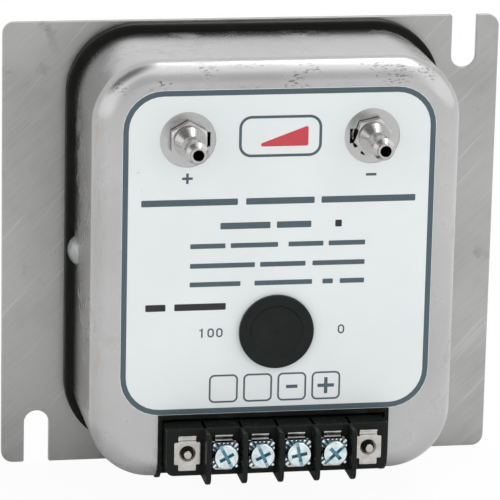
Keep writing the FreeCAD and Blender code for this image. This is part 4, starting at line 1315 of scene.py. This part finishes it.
class BuildPrint(bpy.types.Operator):
    """The label's print: its border, squares, signs, numbers, and bars in place of words"""

    bl_idname = "transmitter.build_print"
    bl_label = "Print"

    def execute(self, context):
        self.size = context.scene.print_sizes
        self.label = Room("face_label")
        self.draw_border(context.scene.housing_sizes.label_corner)
        self.draw_mark()
        self.draw_words()
        self.draw_numbers()
        self.draw_squares()
        return {"FINISHED"}

    def stamp(self, skin, outline, *holes):
        """A flat of ink with upright sides, standing on the label."""
        thick = self.size.thickness
        skin.slab(outline, self.label.front, self.label.front + thick, thick / 5, *holes)

    def band(self, skin, x, z, width, height, corner, stroke):
        """A closed band between two round rectangles."""
        grow = np.array([-width / 2, width / 2, -height / 2, height / 2])
        place = np.array([x, x, z, z])
        shrink = np.array([1, -1, 1, -1]) * stroke
        outer = round_rectangle(*(place + grow), corner, 8)
        inner = round_rectangle(*(place + grow + shrink), max(corner - stroke, stroke / 4), 8)
        self.stamp(skin, outer, inner)

    def bar(self, skin, x, z, width, height):
        half = np.array([-width / 2, width / 2, -height / 2, height / 2])
        sides = half + (x, x, z, z)
        self.stamp(skin, round_rectangle(*sides, min(width, height) * 0.15, 3))

    def finished(self, skin, name, colour):
        skin.piece(name, finish(colour), "face_label", stands_in=False)

    def draw_border(self, corner):
        label, size, skin = self.label, self.size, Skin()
        gap = size.border_gap
        wide, tall = label.width - 2 * gap, label.height - 2 * gap
        self.band(skin, label.x, label.z, wide, tall, corner - gap, size.border_width)
        self.finished(skin, "border", "blue_ink")

    def draw_mark(self):
        """A plain framed wedge between the ports."""
        port, size, skin = Room("high_port_barb"), self.size, Skin()
        z, wide, tall = port.z + size.mark_rise, size.mark_width, size.mark_height
        self.band(skin, 0, z, wide, tall, size.mark_corner, size.mark_stroke)
        self.finished(skin, "mark_frame", "blue_ink")
        skin = Skin()
        half, foot, tip = size.wedge_width / 2, port.z - size.wedge_foot, port.z + size.wedge_tip
        self.stamp(skin, rounded([(-half, foot), (half, foot), (half, tip)], size.wedge_corner))
        self.finished(skin, "mark_wedge", "red_ink")

    def draw_words(self):
        """Each word is one bar; a row gives its height on the label, its ends and its gaps."""
        blue, black = Skin(), Skin()
        for skin, up, tall, left, right, words in (
            (blue, 59.6, 1.8, -37.5, 37.5, ((0, 0.35), (0.38, 0.63), (0.655, 1))),
            (blue, 52.9, 1.8, -15.9, 9.0, ((0, 0.55), (0.62, 1))),
            (blue, 47.4, 1.35, -24.0, 24.0, ((0, 0.2), (0.23, 0.5), (0.56, 0.76), (0.79, 1))),
            (blue, 41.9, 1.35, -24.0, 24.0, ((0, 0.37), (0.4, 0.66), (0.7, 1))),
            (blue, 36.7, 1.35, -24.0, 24.0, ((0, 0.29), (0.37, 0.7), (0.76, 0.82), (0.86, 1))),
            (black, 30.4, 1.9, -36.0, -14.0, ((0, 0.25), (0.36, 1))),
            (black, 52.9, 1.9, 15.6, 17.4, ((0, 1),)),
        ):
            for start, end in words:
                near, far = left + (right - left) * start, left + (right - left) * end
                middle, z = (near + far) / 2 * MM, self.label.bottom + up * MM
                self.bar(skin, middle, z, (far - near) * MM, tall * MM)
        self.finished(blue, "words", "blue_ink")
        self.finished(black, "stamped_words", "black_ink")

    def draw_numbers(self):
        """100 and 0 beside the plug, for the two adjusters' percentages."""
        plug, size, skin = Room("adjustment_plug"), self.size, Skin()
        tall, wide, stroke = size.digit_height, size.digit_width, size.digit_stroke
        reach, pitch = size.digit_reach, size.digit_pitch
        for x in (-reach, -reach + pitch, reach):
            self.band(skin, x, plug.z, wide, tall, wide / 2, stroke)
        x = -reach - pitch
        self.bar(skin, x, plug.z, stroke, tall)
        flag = plug.z + tall / 2 - 1.2 * stroke
        self.bar(skin, x - stroke, flag, 1.4 * stroke, 0.7 * stroke)
        self.finished(skin, "percentages", "blue_ink")

    def draw_squares(self):
        """A frame over each screw, two of them with signs, and the ports' own signs."""
        size, skin = self.size, Skin()
        z, side = self.label.bottom + size.square_rise, size.square
        for n in range(4):
            x = (n - 1.5) * size.square_pitch
            self.band(skin, x, z, side, side, size.square_corner, size.square_stroke)
        self.bar(skin, size.minus_place, z, size.minus_width, size.sign_stroke)
        self.plus(skin, size.plus_place, z, size.plus_span, size.sign_stroke)
        high, low = Room("high_port_barb"), Room("low_port_barb")
        drop, span, stroke = size.port_sign_drop, size.port_sign, size.port_sign_stroke
        self.plus(skin, high.x, high.z - drop, span, stroke)
        self.bar(skin, low.x, low.z - drop, span, stroke)
        self.finished(skin, "signs", "blue_ink")

    def plus(self, skin, x, z, span, stroke):
        arm, half = span / 2, stroke / 2
        quarter = [(arm, -half), (arm, half), (half, half)]
        ways = ((1, 0), (0, 1), (-1, 0), (0, -1))
        turns = [np.array(quarter) @ np.array([(c, s), (-s, c)]) for c, s in ways]
        self.stamp(skin, rounded(np.concatenate(turns) + (x, z), stroke * 0.1, steps=3))


class BuildStage(bpy.types.Operator):
    """Floor, backdrop, lamps and camera"""

    bl_idname = "transmitter.build_stage"
    bl_label = "Stage"

    def execute(self, context):
        settings = context.scene.stage_settings
        self.floor(context)
        self.surroundings(context, settings)
        self.lamp(context, "overhead_lamp", settings.overhead, (0.42, 0.16, 1.15), 0.85, 0.3)
        self.camera(context, settings)
        return {"FINISHED"}

    def floor(self, context):
        """A sheet that runs back along the floor and curves up behind the instrument."""
        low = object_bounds()[0].z
        profile = line([(-4.0, low), (1.2, low), (1.2, low + 4.0)], 0.6, steps=16)[0]
        across = np.array([-4.0, 4.0])
        points = np.zeros((len(profile), 2, 3))
        points[..., 0] = across
        points[..., 1:] = profile[:, None]
        mesh = bpy.data.meshes.new("floor")
        numbers = np.arange(points.size // 3).reshape(points.shape[:2])
        quads = np.stack([numbers[:-1, 0], numbers[:-1, 1], numbers[1:, 1], numbers[1:, 0]], -1)
        mesh.from_pydata(points.reshape(-1, 3).tolist(), [], quads.tolist())
        mesh.shade_smooth()
        floor = bpy.data.objects.new("floor", mesh)
        context.scene.collection.objects.link(floor)
        made = bpy.data.materials.new("backdrop_paper")
        made.use_nodes = True
        wires = Wiring(made.node_tree)
        colour = tuple(context.scene.finish_colours.backdrop) + (1.0,)
        shader = made.node_tree.nodes["Principled BSDF"]
        wires.feed(shader.inputs["Base Color"], colour)
        wires.feed(shader.inputs["Roughness"], 0.9)
        wires.feed(shader.inputs["Specular IOR Level"], 0.0)
        path = wires.add("ShaderNodeLightPath").outputs
        seen = wires.math("MAXIMUM", path["Is Camera Ray"], path["Is Transmission Ray"])
        glow = wires.add("ShaderNodeEmission", (1.0, 1.0, 1.0, 1.0), 1.0).outputs[0]
        share = wires.times(seen, 0.95)
        mixed = wires.add("ShaderNodeMixShader", share, shader.outputs[0], glow)
        output = made.node_tree.nodes["Material Output"]
        wires.feed(output.inputs["Surface"], mixed.outputs[0])
        mesh.materials.append(made)
        floor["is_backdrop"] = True

    def surroundings(self, context, settings):
        """A white room with dim patches over the camera and up on the left, as metal's dark tones."""
        world = bpy.data.worlds.new("surroundings")
        context.scene.world = world
        world.use_nodes = True
        wires = Wiring(world.node_tree)
        path = wires.add("ShaderNodeLightPath").outputs
        seen = wires.math("MAXIMUM", path["Is Camera Ray"], path["Is Transmission Ray"])
        way = wires.add("ShaderNodeTexCoord").outputs["Generated"]
        front = self.patch(wires, way, (0.0, -0.9, 0.43), 0.8, 0.97, settings.shade)
        above = self.patch(wires, way, (-0.5, 0.1, 0.86), 0.8, 0.95, settings.shade / 3)
        level = wires.times(front, above, settings.room)
        ground = world.node_tree.nodes["Background"]
        wires.feed(ground.inputs["Color"], (1.0, 1.0, 1.0, 1.0))
        wires.feed(ground.inputs["Strength"], wires.math("MAXIMUM", level, seen))

    def patch(self, wires, way, middle, edge, core, share):
        """One everywhere but round a direction, where it falls to a share between two cosines."""
        settings = {"operation": "DOT_PRODUCT"}
        near = wires.add("ShaderNodeVectorMath", way, middle, settings=settings).outputs["Value"]
        return wires.spread(near, edge, core, 1.0, share)

    def lamp(self, context, name, power, place, width, height):
        """A soft box that faces the instrument."""
        light = bpy.data.lights.new(name, "AREA")
        light.energy = power
        light.shape = "RECTANGLE"
        light.size, light.size_y = width, height
        lamp = bpy.data.objects.new(name, light)
        lamp.location = place
        lamp.rotation_euler = (-Vector(place)).to_track_quat("-Z", "Y").to_euler()
        context.scene.collection.objects.link(lamp)

    def camera(self, context, settings):
        """Set back from its aim along azimuth and down, then rolled about the line of sight."""
        lens = bpy.data.cameras.new("view")
        lens.lens = settings.lens
        lens.clip_end = 20.0
        camera = bpy.data.objects.new("view", lens)
        turn = (
            Matrix.Rotation(-settings.azimuth, 4, "Z")
            @ Matrix.Rotation(math.pi / 2 - settings.down, 4, "X")
            @ Matrix.Rotation(settings.roll, 4, "Z")
        )
        aim = Matrix.Translation((settings.aim_x, settings.aim_y, settings.aim_z))
        camera.matrix_world = aim @ turn @ Matrix.Translation((0, 0, settings.distance))
        context.scene.collection.objects.link(camera)
        context.scene.camera = camera
        context.scene.view_settings.view_transform = "Standard"


OPERATORS = (
    BuildFinishes,
    DressNodes,
    BuildPlate,
    BuildGasket,
    BuildCase,
    BuildLabel,
    BuildPorts,
    BuildPlug,
    BuildStrip,
    BuildClips,
    BuildClamps,
    BuildScrews,
    BuildRivets,
    BuildPrint,
    BuildStage,
)


class TransmitterPanel(bpy.types.Panel):
    """Lists the builders, and the sizes and colours that they use"""

    bl_idname = "VIEW3D_PT_transmitter"
    bl_label = "Transmitter"
    bl_space_type = "VIEW_3D"
    bl_region_type = "UI"
    bl_category = "Transmitter"

    def draw(self, context):
        for operator in OPERATORS:
            self.layout.operator(operator.bl_idname)
        for name, group in GROUPS.items():
            box = self.layout.box()
            box.label(text=group.__name__)
            for label in group.__annotations__:
                box.prop(getattr(context.scene, name), label)


def register():
    for group in GROUPS.values():
        bpy.utils.register_class(group)
    for name, group in GROUPS.items():
        setattr(bpy.types.Scene, name, bpy.props.PointerProperty(type=group))
    for operator in OPERATORS:
        bpy.utils.register_class(operator)
    bpy.utils.register_class(TransmitterPanel)


def unregister():
    bpy.utils.unregister_class(TransmitterPanel)
    for operator in reversed(OPERATORS):
        bpy.utils.unregister_class(operator)
    for name in GROUPS:
        delattr(bpy.types.Scene, name)
    for group in reversed(list(GROUPS.values())):
        bpy.utils.unregister_class(group)


def main():
    """Builds everything in order."""
    register()
    for operator in OPERATORS:
        space, name = operator.bl_idname.split(".")
        getattr(getattr(bpy.ops, space), name)()


if __name__ == "__main__":
    main()
